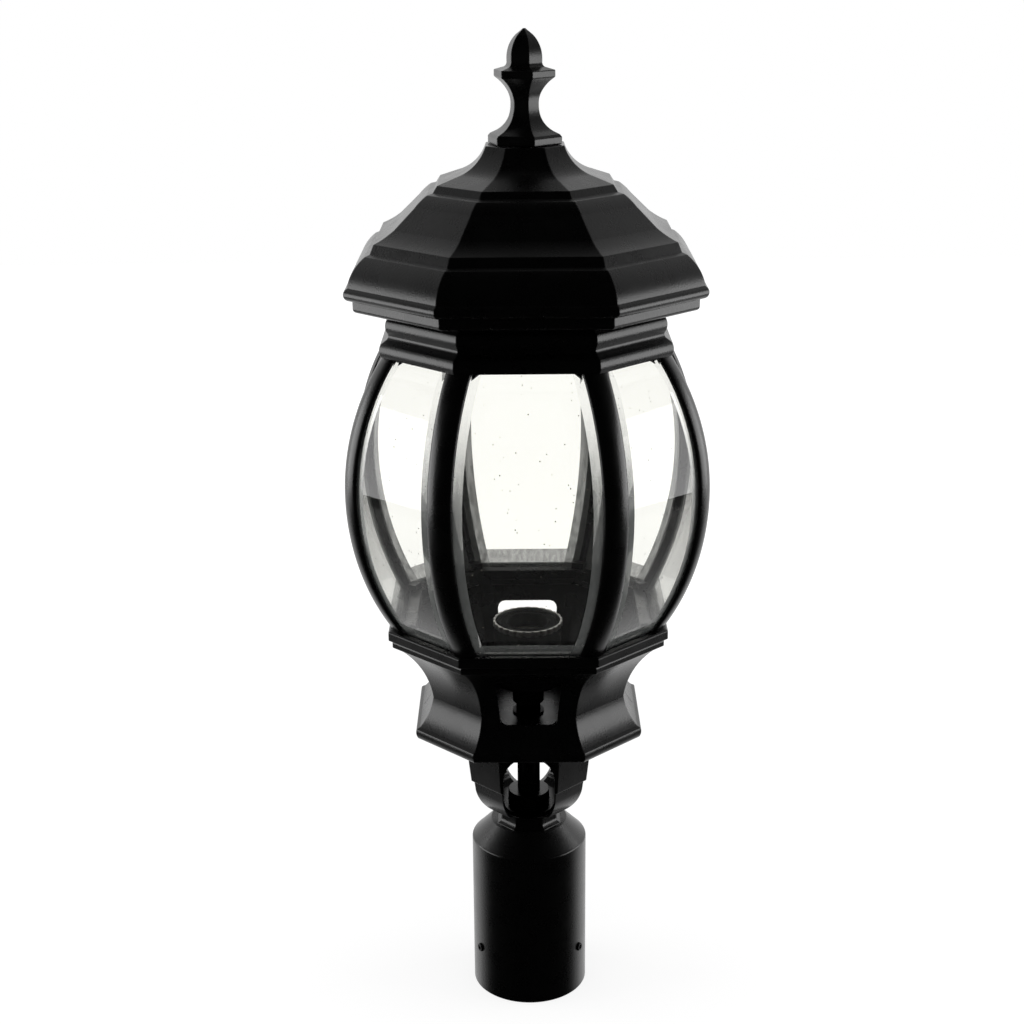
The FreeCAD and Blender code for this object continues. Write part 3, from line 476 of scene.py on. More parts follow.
def grid(points: np.ndarray, wrap_rows: bool = False) -> Shell:
    """Close a grid of points into a shell whose faces look outward.

    The last column joins the first, and the first and last row are closed by one face
    each unless they join. Quad (r, c) joins points (r, c), (r, c+1), (r+1, c+1) and (r+1, c). The volume by
    the divergence theorem tells which way they look, and they are turned over if it
    comes out negative.

    Args:
        points: rows by columns by three.
        wrap_rows: whether the last row joins the first.

    Returns:
        The shell.
    """
    rows, columns = points.shape[:2]
    r, c = np.meshgrid(np.arange(rows if wrap_rows else rows - 1), np.arange(columns), indexing="ij")
    r1, c1 = (r + 1) % rows, (c + 1) % columns
    quads = np.stack([r * columns + c, r * columns + c1, r1 * columns + c1, r1 * columns + c], -1)
    quads = quads.reshape(-1, 4)
    flat = points.reshape(-1, 3)
    ends = []
    if not wrap_rows:
        ends = [np.arange(columns)[::-1], (rows - 1) * columns + np.arange(columns)]
    triangles = [quads[:, [0, 1, 2]], quads[:, [0, 2, 3]]]
    for end in ends:
        triangles.append(np.stack([np.full(len(end) - 2, end[0]), end[1:-1], end[2:]], -1))
    tri = flat[np.concatenate(triangles)]
    volume = np.einsum("ij,ij->i", tri[:, 0], np.cross(tri[:, 1], tri[:, 2])).sum()
    step = 1 if volume > 0 else -1
    faces = [tuple(face) for face in quads[:, ::step].tolist()]
    faces += [tuple(end[::step].tolist()) for end in ends]
    return Shell(flat, faces)


def revolved(outline: np.ndarray, closed: bool, columns: int = 96, wave: Any = None) -> Shell:
    """Turn an outline about the upright axis.

    Point (r, c) stands at radius outline[r, 0] plus the wave, bearing 360 c / columns
    and height outline[r, 1].

    Args:
        outline: radius and height of each row.
        closed: whether the outline closes on itself; otherwise its ends are capped.
        columns: number of bearings.
        wave: function of (radius, bearing, height) that gives an added radius.

    Returns:
        The shell.
    """
    bearing = np.arange(columns) * TURN / columns
    radius = np.repeat(outline[:, :1], columns, axis=1)
    height = np.repeat(outline[:, 1:], columns, axis=1)
    if wave is not None:
        radius = radius + wave(radius, bearing[None, :], height)
    points = np.stack([radius * np.cos(bearing), radius * np.sin(bearing), height], -1)
    return grid(points, wrap_rows=closed)


def rod(x: float, y: float, radius: float, low: float, high: float, chamfer: float = 0.3) -> Shell:
    """Make an upright round bar with chamfered ends.

    Args:
        x: place of its axis.
        y: place of its axis.
        radius: radius of the bar.
        low: foot.
        high: head.
        chamfer: width of the chamfer.

    Returns:
        The shell.
    """
    outline = np.array([
        (radius - chamfer, low), (radius, low + chamfer), (radius, high - chamfer), (radius - chamfer, high)])
    return revolved(outline, False, 32).moved(shift=(x, y, 0.0))


def prism(corners: Sequence[Point], low: float, high: float, radius: float = 0.6) -> Shell:
    """Upright prism whose upright and level arrises are rounded.

    Args:
        corners: plan of the prism, in order.
        low: underside.
        high: top.
        radius: rounding.

    Returns:
        The shell.
    """
    plan = eased(np.array(corners, float), radius, True, least=5.0)
    centre = plan.mean(axis=0)
    reach = np.abs(plan - centre).max()
    inner = centre + (plan - centre) * (1.0 - 0.5 * radius / reach)
    rows = [(inner, low), (plan, low + 0.5 * radius), (plan, high - 0.5 * radius), (inner, high)]
    points = np.stack([np.column_stack([p, np.full(len(p), z)]) for p, z in rows])
    return grid(points)


def threaded(radius: float, depth: float, pitch: float, low: float, high: float, bore: float = 0.0,
             columns: int = 20, rows_per_turn: int = 5) -> Shell:
    """A screw thread on a bar or a tube.

    The crest follows a helix: the radius drops by the depth times half of one minus the
    cosine of (height over pitch minus bearing over a turn), and fades out over the last
    pitch at either end.

    Args:
        radius: crest radius.
        depth: thread depth.
        pitch: height of one turn.
        low: foot.
        high: head.
        bore: radius of a bore right through, or zero for a solid bar.
        columns: number of bearings.
        rows_per_turn: levels in one pitch.

    Returns:
        The shell.
    """
    count = max(8, int((high - low) / pitch * rows_per_turn))
    z = np.linspace(low, high, count)
    outer = np.column_stack([np.full(count, radius), z])
    if bore:
        outline = np.concatenate([outer, [(bore, high), (bore, low)]])
    else:
        outline = np.concatenate([[(radius - depth, low - 0.01)], outer, [(radius - depth, high + 0.01)]])

    def wave(r: np.ndarray, bearing: np.ndarray, height: np.ndarray) -> np.ndarray:
        """Work out the radius lost to the thread, nothing on the bore or the end faces.

        Args:
            r: radius before the loss.
            bearing: angle about the axis.
            height: height of the point.

        Returns:
            The radius to add, which is negative.
        """
        fade = np.clip(np.minimum(height - low, high - height) / pitch, 0.0, 1.0)
        lost = 1.0 - fade * 0.5 * (1.0 + np.cos(TURN * height / pitch - bearing))
        return np.where(r >= radius - 1e-6, -depth * lost, 0.0)

    return revolved(outline, bool(bore), columns, wave)


def hexagon_nut(flats: float, hole: float, low: float, high: float) -> Shell:
    """Hexagon nut whose corners are chamfered at 30 degrees.

    The boundary's radius at a bearing is half the flats over the cosine of the angle to
    the nearest flat; a face drops by the tangent of 30 degrees times what that radius
    has beyond half the flats.

    Args:
        flats: size across the flats.
        hole: radius of the hole.
        low: underside.
        high: top.

    Returns:
        The shell.
    """
    columns, chamfer = 72, 0.4
    bearing = np.arange(columns) * TURN / columns
    half = 0.5 * flats
    face = half * 0.97
    edge = half / np.cos((bearing + TURN / 12.0) % (TURN / 6.0) - TURN / 12.0)
    drop = (edge - face) * math.tan(math.radians(30.0))
    rows = [
        (hole, low + chamfer), (hole + chamfer, low), (face, low), (edge, low + drop), (edge, high - drop),
        (face, high), (hole + chamfer, high), (hole, high - chamfer)]
    every = np.ones(columns)
    points = np.stack([np.stack([r * np.cos(bearing), r * np.sin(bearing), z * every], -1) for r, z in rows])
    return grid(points, wrap_rows=True)


@dataclass(frozen=True)
class Plan:
    """A convex polygon seen from above, with its corners rounded.

    corners holds the directions to the corners, scaled so that an outline's distance of
    one reaches them; normals holds the bearing of the side after each corner.
    """
    corners: np.ndarray
    normals: np.ndarray
    arris: float
    steps: int = 5

    @classmethod
    def octagon(cls, arris: float) -> "Plan":
        """Make the castings' irregular octagon, its main sides at distance one.

        Args:
            arris: radius of its corners.

        Returns:
            The plan.
        """
        k = SIDE_RATIO
        corners = np.array([(k, -1), (1, -k), (1, k), (k, 1), (-k, 1), (-1, k), (-1, -k), (-k, -1)], float)
        return cls(corners, np.radians(45.0 * np.arange(8) - 45.0), arris)

    @classmethod
    def regular(cls, sides: int, first: float, arris: float) -> "Plan":
        """Make a regular polygon whose corners lie at distance one.

        Args:
            sides: number of sides.
            first: bearing of the first corner from the front, in degrees.
            arris: radius of its corners.

        Returns:
            The plan.
        """
        step = TURN / sides
        bearing = math.radians(first - 90.0) + step * np.arange(sides)
        return cls(np.stack([np.cos(bearing), np.sin(bearing)], axis=1), bearing + 0.5 * step, arris)

    def carry(self, outline: np.ndarray, closed: bool) -> Shell:
        """Carry an outline round the polygon, which mitres it at every corner.

        A rounded corner's arc is centred on the bisector of its two sides: a point on it
        is the corner, plus the arris radius times the difference of the arc's own
        direction and the bisector over the cosine of half the turn.

        Args:
            outline: distance from the axis and height, in mm.
            closed: whether the outline closes on itself; otherwise its ends are capped.

        Returns:
            The shell.
        """
        distance = outline[:, 0][:, None, None]
        before = np.roll(self.normals, 1)
        half = 0.5 * ((self.normals - before) % TURN)
        bearing = (before + half)[:, None] + half[:, None] * np.linspace(-1.0, 1.0, self.steps)[None, :]
        middle = (before + half)[:, None]
        cosine = np.cos(half)[:, None]
        arris = np.minimum(self.arris, 0.3 * np.abs(distance))
        x = distance * self.corners[None, :, None, 0] + arris * (np.cos(bearing) - np.cos(middle) / cosine)
        y = distance * self.corners[None, :, None, 1] + arris * (np.sin(bearing) - np.sin(middle) / cosine)
        rows = len(outline)
        x, y = x.reshape(rows, -1), y.reshape(rows, -1)
        z = np.repeat(outline[:, 1:], x.shape[1], axis=1)
        return grid(np.stack([x, y, z], -1), wrap_rows=closed)


# ------------------------------------------------------------------ meshes
def make_object(name: str, shells: Sequence[Shell], sharp: float = SHARP) -> bpy.types.Object:
    """Put shells into one smooth-shaded object at the origin.

    Args:
        name: name of the piece.
        shells: its closed surfaces.
        sharp: edges that turn more than this many degrees stay sharp.

    Returns:
        The object, not yet riding on a body.
    """
    points, faces, count = [], [], 0
    for shell in shells:
        points.append(shell.points)
        faces += [tuple(i + count for i in face) for face in shell.faces]
        count += len(shell.points)
    mesh = bpy.data.meshes.new(name)
    mesh.from_pydata((np.concatenate(points) * MM).tolist(), [], faces)
    mesh.polygons.foreach_set("use_smooth", [True] * len(mesh.polygons))
    mesh.set_sharp_from_angle(angle=math.radians(sharp))
    mesh.update()
    piece = bpy.data.objects.new(name, mesh)
    bpy.context.scene.collection.objects.link(piece)
    return piece


def settle(piece: bpy.types.Object) -> None:
    """Apply a piece's modifiers to its mesh.

    Args:
        piece: object whose modifiers are applied and removed.
    """
    bpy.context.view_layer.update()
    graph = bpy.context.evaluated_depsgraph_get()
    mesh = bpy.data.meshes.new_from_object(
        piece.evaluated_get(graph), preserve_all_data_layers=True, depsgraph=graph)
    old, name = piece.data, piece.data.name
    piece.modifiers.clear()
    piece.data = mesh
    bpy.data.meshes.remove(old)
    mesh.name = name


def cut(shell: Shell, cutters: Sequence[Shell]) -> Shell:
    """Take other shells out of a shell.

    Args:
        shell: what is cut.
        cutters: shells that don't touch each other.

    Returns:
        The cut shell.
    """
    base = make_object("cut_base", [shell])
    tool = make_object("cut_tool", cutters)
    step = base.modifiers.new("cut", "BOOLEAN")
    step.operation = "DIFFERENCE"
    step.solver = "EXACT"
    step.object = tool
    settle(base)
    mesh = base.data
    points = np.zeros(len(mesh.vertices) * 3)
    mesh.vertices.foreach_get("co", points)
    faces = [tuple(p.vertices) for p in mesh.polygons]
    for piece in (base, tool):
        data = piece.data
        bpy.data.objects.remove(piece)
        bpy.data.meshes.remove(data)
    return Shell(points.reshape(-1, 3) / MM, faces)


class Workshop:
    """Finishes, bodies and slots: what every sub-assembly is built with."""

    def __init__(self, frame: dict[str, Any]) -> None:
        self.frame = frame
        self.made: dict[Finish, bpy.types.Material] = {}

    def finish(self, finish: Finish) -> bpy.types.Material:
        """Return the material of a finish, built on first use.

        Args:
            finish: the finish.

        Returns:
            Its material.
        """
        if finish not in self.made:
            self.made[finish] = finish.value.build()
        return self.made[finish]

    def add(self, name: str, shells: Sequence[Shell], finish: Finish, node: str, body: str = "root",
            sharp: float = SHARP) -> bpy.types.Object:
        """Make a piece, even out its normals, dress it and let it stand for its plain solid.

        Args:
            name: name of the piece.
            shells: its closed surfaces.
            finish: its finish, which gives its slot too.
            node: plain solid that it replaces.
            body: body that carries it.
            sharp: edges that turn more than this many degrees stay sharp.

        Returns:
            The piece.
        """
        piece = make_object(name, shells, sharp)
        even = piece.modifiers.new("even", "WEIGHTED_NORMAL")
        even.keep_sharp = True
        settle(piece)
        piece.data.materials.clear()
        piece.data.materials.append(self.finish(finish))
        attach(piece, body)
        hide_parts(node)
        LOG.info("%-22s %6d faces, %s on %s", name, len(piece.data.polygons), finish.value.name, body)
        return piece

    def keep(self, finish: Finish, *nodes: str) -> None:
        """Dress solids whose shape is right as it is.

        Args:
            finish: their finish.
            nodes: names of the solids.
        """
        for name in nodes:
            mesh = self.frame["nodes"][name].data
            mesh.materials.clear()
            mesh.materials.append(self.finish(finish))
            LOG.info("%-22s kept, %s", name, finish.value.name)


# ------------------------------------------------------------------ the stack of heights
FITTER_TOP = 129.7
PEDESTAL_BASE = FITTER_TOP + 79.3
RING_BASE = PEDESTAL_BASE + 75.7
RIB_BASE = RING_BASE + 6.8
FRIEZE_BASE = RIB_BASE + 188.0
ROOF_BASE = FRIEZE_BASE + 30.7
ROOF_TOP = ROOF_BASE + 98.6
SEAT_GAP = 0.3


# ------------------------------------------------------------------ post fitter and neck
@dataclass
class Fitter:
    """Tube with a conical shoulder and three tapped holes for its set screws."""
    radius: float = 41.0
    bore: float = 38.3
    straight: float = 115.0
    top_radius: float = 27.0
    plate: float = 3.0
    hole: float = 5.05
    tapped: float = 3.05
    tapped_reach: float = 5.0            # the tool starts this far inside the bore
    tapped_length: float = 12.0
    screw_height: float = 34.0
    screw_bearings: tuple[float, ...] = (60.0, 180.0, 300.0)

    def build(self, shop: Workshop) -> None:
        """Build the casting: a closed outline turned about the axis, less the holes.

        Args:
            shop: what pieces are made and dressed with.
        """
        ceiling = FITTER_TOP - self.plate
        outline = drawn(
            (self.bore, 0.0), (self.radius - 0.6, 0.0), (self.radius, 0.6), (self.radius, self.straight),
            ((self.radius - 0.29, self.straight + 0.96), (self.radius - 1.02, self.straight + 1.6)),
            (self.top_radius, FITTER_TOP), (self.hole, FITTER_TOP), (self.hole, ceiling),
            (self.top_radius - 1.0, ceiling), (self.bore, self.straight - 1.0), arc_steps=5)
        skin = revolved(eased(outline, 0.6, True), True, 144)
        hole = rod(0.0, 0.0, self.tapped, 0.0, self.tapped_length, 0.01)
        lying = Shell(hole.points[:, [0, 2, 1]] * np.array([1.0, -1.0, 1.0]), hole.faces)
        start = (0.0, self.tapped_reach - self.bore, self.screw_height)
        holes = [lying.moved(bearing, shift=start) for bearing in self.screw_bearings]
        shop.add("fitter_casting", [cut(skin, holes)], Finish.COAT, "post_fitter")


@dataclass
class Neck:
    """Eight-sided bowl on a collar, open in an arched window front and back."""
    collar: float = 19.5
    foot: float = 23.0
    bowl: float = 37.7
    bowl_height: float = 29.6
    lip: float = 40.6
    top: float = 43.5
    wall: float = 3.6
    floor: float = 14.3
    boss: float = 14.7
    boss_height: float = 6.5
    window_half: float = 17.7
    window_sill: float = 11.6
    window_head: float = 66.3
    hole: float = 5.05
    disc: float = 1.5
    sleeve: float = 8.0
    sleeve_bore: float = 5.3
    centre_hole: float = 6.5

    def build(self, shop: Workshop) -> None:
        """Build the cup, the disc on its boss and the sleeve round the lamp tube.

        Args:
            shop: what pieces are made and dressed with.
        """
        base, height = FITTER_TOP, PEDESTAL_BASE - FITTER_TOP
        outline = drawn(
            (self.centre_hole, base), (self.foot, base),
            ((self.collar + 0.8, base + 1.5), (self.collar, base + 4.0)),
            (self.collar, base + 7.4),
            ((self.bowl - 4.3, base + self.bowl_height - 10.4), (self.bowl, base + self.bowl_height)),
            (self.lip - 2.0, base + self.bowl_height + 7.0), (self.lip, base + self.bowl_height + 8.2),
            (self.top - 1.3, base + self.bowl_height + 22.7), (self.top, base + height),
            (self.top - self.wall, base + height), (self.lip - self.wall, base + self.bowl_height + 10.0),
            (self.bowl - self.wall, base + self.bowl_height + 1.0),
            ((self.bowl - 8.0, base + self.bowl_height - 8.6), (self.collar + 3.0, base + self.floor)),
            (self.centre_hole, base + self.floor))
        skin = Plan.octagon(1.2).carry(eased(outline, 0.8, True), True)
        shells = [cut(skin, [self.window(-1.0), self.window(1.0)])]
        disc_base = base + self.floor + self.boss_height
        boss = drawn(
            (self.hole, base + 0.2), (self.boss, base + 0.2), (self.boss, disc_base),
            (self.hole, disc_base))
        shells.append(revolved(eased(boss, 0.5, True), True))
        shop.add("neck_casting", shells, Finish.COAT, "neck_cup")
        washer = np.array([
            (self.hole, disc_base), (self.boss, disc_base), (self.boss, disc_base + self.disc),
            (self.hole, disc_base + self.disc)])
        shop.add("neck_plate", [revolved(eased(washer, 0.4, True), True)], Finish.COAT, "neck_disc")
        tube = np.array([
            (self.sleeve_bore, disc_base + self.disc), (self.sleeve, disc_base + self.disc),
            (self.sleeve, PEDESTAL_BASE), (self.sleeve_bore, PEDESTAL_BASE)])
        shop.add("stem_tube", [revolved(eased(tube, 0.4, True), True)], Finish.COAT, "stem_sleeve")

    def window(self, side: float) -> Shell:
        """Make the cutter for one window: straight sides and two half circles, pushed along Y.

        Args:
            side: minus one for the front, plus one for the rear.

        Returns:
            The cutter.
        """
        half, sill, head = self.window_half, FITTER_TOP + self.window_sill, FITTER_TOP + self.window_head
        loop = drawn(
            (-half, sill + half), ((0.0, sill), (half, sill + half)), (half, head - half),
            ((0.0, head), (-half, head - half)), arc_steps=24)
        near, far = sorted((side * (self.boss + 1.0), side * 90.0))
        rows = [np.column_stack([loop[:, 0], np.full(len(loop), y), loop[:, 1]]) for y in (near, far)]
        return grid(np.stack(rows))


# ------------------------------------------------------------------ pedestal
@dataclass
class Pedestal:
    """Waisted casting: floor below, flange above, a window front and back."""
    rim: float = 77.6
    groove: float = 74.8
    waist: float = 65.5
    waist_height: float = 28.5
    cove_top: float = 89.1
    cove_height: float = 69.7
    bead: float = 91.5
    wall: float = 3.2
    floor: float = 3.5
    flange: float = 4.0
    bore: float = 74.0
    sill: float = 22.0
    head: float = 59.5
    half_sill: float = 18.8
    half_head: float = 22.2
    corner: float = 5.0
    seam: float = 0.8

    def build(self, shop: Workshop) -> None:
        """Build the casting as one closed skin, less windows and parting grooves.

        Args:
            shop: what pieces are made and dressed with.
        """
        base, top = PEDESTAL_BASE, RING_BASE
        waist, wall, flange = base + self.waist_height, self.wall, top - self.flange
        outline = drawn(
            (5.5, base), (self.rim - 1.3, base), ((self.rim, base + 3.4), (self.rim - 0.4, base + 6.8)),
            (self.groove, base + 8.0), ((self.waist + 2.7, base + 18.2), (self.waist, waist)),
            ((self.waist + 6.0, base + 48.2), (self.cove_top, base + self.cove_height)),
            (self.bead, base + self.cove_height + 0.6), (self.bead, base + self.cove_height + 4.0),
            (self.bead - 0.9, top), (self.bore, top), (self.bore, flange),
            (self.cove_top - wall - 3.0, flange), (self.cove_top - wall - 3.0, flange - 3.0),
            ((self.waist - wall + 5.4, base + 49.0), (self.waist - wall, waist)),
            ((self.waist - wall + 2.4, base + 18.2), (self.groove - wall, base + 7.0)),
            (self.groove - wall, base + self.floor), (5.5, base + self.floor))
        skin = Plan.octagon(1.5).carry(eased(outline, 0.8, True), True)
        cutters = [self.window(), self.parting(-1.0), self.parting(1.0)]
        shop.add("pedestal_casting", [cut(skin, cutters)], Finish.COAT, "base_pedestal")

    def window(self) -> Shell:
        """Make the cutter for both windows: a tapered loop with round corners, pushed along Y.

        Returns:
            The cutter.
        """
        sill, head = PEDESTAL_BASE + self.sill, PEDESTAL_BASE + self.head
        loop = np.array([
            (-self.half_sill, sill), (self.half_sill, sill), (self.half_head, head), (-self.half_head, head)])
        loop = eased(loop, self.corner * 1.2, True, 9)
        rows = [np.column_stack([loop[:, 0], np.full(len(loop), y), loop[:, 1]]) for y in (-150.0, 150.0)]
        return grid(np.stack(rows))

    def parting(self, side: float) -> Shell:
        """Make the cutter for the mould's parting line: a thin slab that follows the flare.

        Args:
            side: minus one for the left, plus one for the right.

        Returns:
            The cutter.
        """
        base = PEDESTAL_BASE
        flare = drawn(
            (self.groove, base + 8.0),
            ((self.waist + 2.7, base + 18.2), (self.waist, base + self.waist_height)))
        flare = flare[(flare[:, 1] >= base + 8.2) & (flare[:, 1] <= base + 18.5)]
        half = 0.5 * self.seam
        loop = [(-0.8, -half), (3.0, -half), (3.0, half), (-0.8, half)]
        rows = [[(side * (d + dx), dy, z) for dx, dy in loop] for d, z in flare]
        return grid(np.array(rows))


# ------------------------------------------------------------------ cage
@dataclass
class Cage:
    """Two rings, eight bowed ribs, eight bowed and bevelled panes, screws and clips."""
    belly_height: float = 98.5
    belly: float = 130.3
    foot: float = 99.8
    head: float = 101.1
    nose: float = 1.3
    half_width: float = 8.6
    web: float = 3.0
    depth: float = 10.5
    lug_width: float = 9.0
    lug_depth: float = 7.0
    lug_height: float = 4.5
    lug_setback: float = 7.0
    thickness: float = 4.0
    edge: float = 2.0
    engage: float = 3.5
    side_gap: float = 0.4
    end_bevel: float = 13.0
    side_bevel: float = 12.2
    bore: float = 74.0
    arris: float = 0.7
    mitre: float = 1.5
    rib_levels: int = 57
    pane_levels: int = 45
    bevel_sharp: float = 4.0
    # how much painted shade the foot bevel of each pane's field takes
    foot_painted_shade: float = 0.8

    def nose_radius(self, z: np.ndarray) -> np.ndarray:
        """Work out how far a rib's nose lies from the axis.

        The bow is two arcs that share an upright tangent at the belly. The radius is the
        belly's, less the arc's own radius, plus the root of that radius squared less the
        height from the belly squared.

        Args:
            z: heights.

        Returns:
            The distance at each height.
        """
        reach = np.asarray(z, float) - RIB_BASE - self.belly_height
        up = FRIEZE_BASE - RIB_BASE - self.belly_height
        bow_up = (up ** 2 + (self.belly - self.head) ** 2) / (2.0 * (self.belly - self.head))
        bow_down = (self.belly_height ** 2 + (self.belly - self.foot) ** 2) / (2.0 * (self.belly - self.foot))
        bow = np.where(reach > 0, bow_up, bow_down)
        return self.belly - bow + np.sqrt(bow ** 2 - reach ** 2)

    def meet(self, z: np.ndarray) -> np.ndarray:
        """Where two panes' outer faces would meet, from the axis."""
        return self.nose_radius(z) - self.nose

    def face(self, z: np.ndarray) -> np.ndarray:
        """Outer face of a main pane, from the axis."""
        return self.meet(z) / CORNER_REACH

    def groove(self, ring_z: float, end_z: float) -> tuple[float, float]:
        """Return the inner and outer wall of a ring's groove for the panes, from the axis."""
        faces = self.face(np.array([ring_z, end_z]))
        return float(faces.min()) - self.thickness - SEAT_GAP, float(faces.max()) + SEAT_GAP

    def build(self, shop: Workshop) -> None:
        """Build the cage's pieces in the order in which they are put together.

        Args:
            shop: what pieces are made and dressed with.
        """
        self.rings(shop)
        rib = self.rib()
        for turn in range(4):
            for number, shells in ((2 * turn + 1, [s.moved(90.0 * turn) for s in rib]),
                                   (2 * turn + 2, [s.moved(90.0 * turn + 90.0, True) for s in rib])):
                shop.add(f"bowed_rib_{number}", shells, Finish.COAT, f"rib_{number}")
        sides = ("front", "right", "rear", "left")
        for turn, side in enumerate(sides):
            after = sides[(turn + 1) % 4]
            self.hang(shop, f"pane_{side}", self.pane(1.0, MAIN_ANGLE), 90.0 * turn)
            diagonal = self.pane(DIAGONAL_REACH, DIAGONAL_ANGLE)
            self.hang(shop, f"pane_{side}_{after}", diagonal, 90.0 * turn + 45.0)
        self.screws(shop)
        shop.keep(Finish.OXIDE, "glass_clips")

    def rings(self, shop: Workshop) -> None:
        """Build the lower ring and the frieze as closed skins, and the strap's two lugs.

        Args:
            shop: what pieces are made and dressed with.
        """
        plan = Plan.octagon(self.mitre)
        low, high = RING_BASE, RIB_BASE
        back, front = self.groove(high, high - self.engage)
        floor = high - self.engage - SEAT_GAP
        lower = drawn(
            (self.bore, low), (94.0, low), (94.0, low + 5.9), (92.9, high), (front, high), (front, floor),
            (back, floor), (back, high), (self.bore, high))
        ring = plan.carry(eased(lower, self.arris, True), True)
        shop.add("lower_ring_casting", [ring], Finish.COAT, "cage_bottom_ring")
        base, top = FRIEZE_BASE, ROOF_BASE
        back, front = self.groove(base, base + self.engage)
        ceiling = base + self.engage + SEAT_GAP
        lip = 81.5
        upper = drawn(
            (front, base), (93.0, base), ((94.2, base + 4.5), (93.0, base + 8.8)), (90.0, base + 10.9),
            ((88.4, base + 12.8), (88.8, base + 15.4)), ((90.0, base + 19.5), (89.2, base + 23.6)),
            (87.4, base + 24.9), ((85.7, base + 27.0), (84.8, top)), (lip, top), (lip, top + 3.8),
            (lip - 3.2, top + 3.8), (lip - 3.2, base + 27.0), (83.5, base + 20.0), (84.3, base + 12.0),
            (back + 1.0, base + 5.5), (self.bore, base + 5.5), (self.bore, base), (back, base),
            (back, ceiling), (front, ceiling))
        shells = [plan.carry(eased(upper, self.arris, True), True)]
        strap = top - 2.7
        lug = prism([(66.5, -9.0), (83.8, -9.0), (83.8, 9.0), (66.5, 9.0)], strap - 10.0, strap)
        shells += [lug, lug.moved(180.0)]
        shop.add("frieze_casting", shells, Finish.COAT, "cage_top_ring")

    def at_corner(self, radial: np.ndarray, side: np.ndarray, z: np.ndarray) -> np.ndarray:
        """Points by the corner right of the front pane, from radius and offset to the side."""
        s, c = math.sin(MAIN_ANGLE), math.cos(MAIN_ANGLE)
        return np.stack(np.broadcast_arrays(radial * s - side * c, -radial * c - side * s, z), -1)

    def section(self) -> np.ndarray:
        """Draw a rib's level section.

        The nose is two quarters of an ellipse between the shoulders, which lie on the
        two panes, and the web reaches back between the panes' edges.

        Returns:
            Radius beyond the panes' corner and offset to the side of each point.
        """
        half, web = self.half_width, 0.5 * self.web
        lift_main = SEAT_GAP / math.cos(MAIN_ANGLE)
        lift_diagonal = SEAT_GAP / math.cos(DIAGONAL_ANGLE)
        t = np.linspace(0.0, 0.5 * math.pi, 13)
        main = lift_main - half * math.tan(MAIN_ANGLE)
        diagonal = lift_diagonal - half * math.tan(DIAGONAL_ANGLE)
        first = np.column_stack([main + (self.nose - main) * np.sin(t), half * np.cos(t)])
        second = np.column_stack([diagonal + (self.nose - diagonal) * np.cos(t), -half * np.sin(t)])[1:]
        back = np.array([
            (lift_diagonal - web * math.tan(DIAGONAL_ANGLE), -web), (-self.depth, -web), (-self.depth, web),
            (lift_main - web * math.tan(MAIN_ANGLE), web)])
        return eased(np.concatenate([first, second, back]), 0.7, True)

    def rib(self) -> list[Shell]:
        """Carry the section up the bow, right of the front pane, and add its two lugs.

        Returns:
            The rib and its lugs.
        """
        z = np.linspace(RIB_BASE, FRIEZE_BASE, self.rib_levels)
        section = self.section()
        radial = self.meet(z)[:, None] + section[None, :, 0]
        points = self.at_corner(radial, section[None, :, 1], z[:, None])
        shells = [grid(points)]
        for end, low in ((RIB_BASE, RIB_BASE), (FRIEZE_BASE, FRIEZE_BASE - self.lug_height)):
            outer = float(self.meet(end)) - self.lug_setback
            half = 0.5 * self.lug_width
            radii = np.array([outer, outer, outer - self.lug_depth, outer - self.lug_depth])
            plan = self.at_corner(radii, np.array([half, -half, -half, half]), np.array(0.0))[:, :2]
            shells.append(prism([tuple(p) for p in plan], low, low + self.lug_height))
        return shells

    def pane(self, reach: float, angle: float) -> Shell:
        """One bowed pane facing the front.

        The grid runs up the pane and round its level section: back left, edge left,
        field left, field right, edge right, back right. The field is the full thickness,
        the edge two millimetres less, and the same drop is taken at head and foot, so
        bevel meets bevel on a mitre through the one corner quad.

        Args:
            reach: the pane's distance from the axis over a main pane's.
            angle: half the angle that the pane takes up.

        Returns:
            The shell.
        """
        foot, head = RIB_BASE - self.engage, FRIEZE_BASE + self.engage
        field = np.linspace(foot + self.end_bevel, head - self.end_bevel, self.pane_levels)
        z = np.concatenate([[foot], field, [head]])
        face = self.face(z) * reach
        back = face - self.thickness
        edge = back + self.edge
        gap = (0.5 * self.web + self.side_gap) / math.cos(angle)
        edge_half = edge * math.tan(angle) - gap
        back_half = back * math.tan(angle) - gap
        flat = edge_half - self.side_bevel
        drop = np.zeros(len(z))
        drop[[0, -1]] = self.thickness - self.edge
        field_y = face - drop
        x = np.stack([-back_half, -edge_half, -flat, flat, edge_half, back_half], 1)
        y = np.stack([back, edge, field_y, field_y, edge, back], 1)
        shell = grid(np.stack([x, -y, np.repeat(z[:, None], 6, axis=1)], -1))
        return self.mitred(shell, len(z))

    def mitred(self, shell: Shell, rows: int) -> Shell:
        """Split the four corner quads of a pane along their mitres.

        Args:
            shell: pane whose point (r, c) has the number 6 r + c.
            rows: number of rows.

        Returns:
            The pane with eight triangles in the place of the four quads.
        """
        faces: list[Face] = []
        last = rows - 1
        for face in shell.faces:
            rows_in = {i // 6 for i in face}
            columns = {i % 6 for i in face}
            corner = len(face) == 4 and (rows_in == {0, 1} or rows_in == {last - 1, last})
            if corner and columns in ({1, 2}, {3, 4}):
                outer = next(i for i, v in enumerate(face) if v // 6 in (0, last) and v % 6 in (1, 4))
                f = face[outer:] + face[:outer]
                faces += [(f[0], f[1], f[2]), (f[0], f[2], f[3])]
            else:
                faces.append(face)
        return Shell(shell.points, faces)

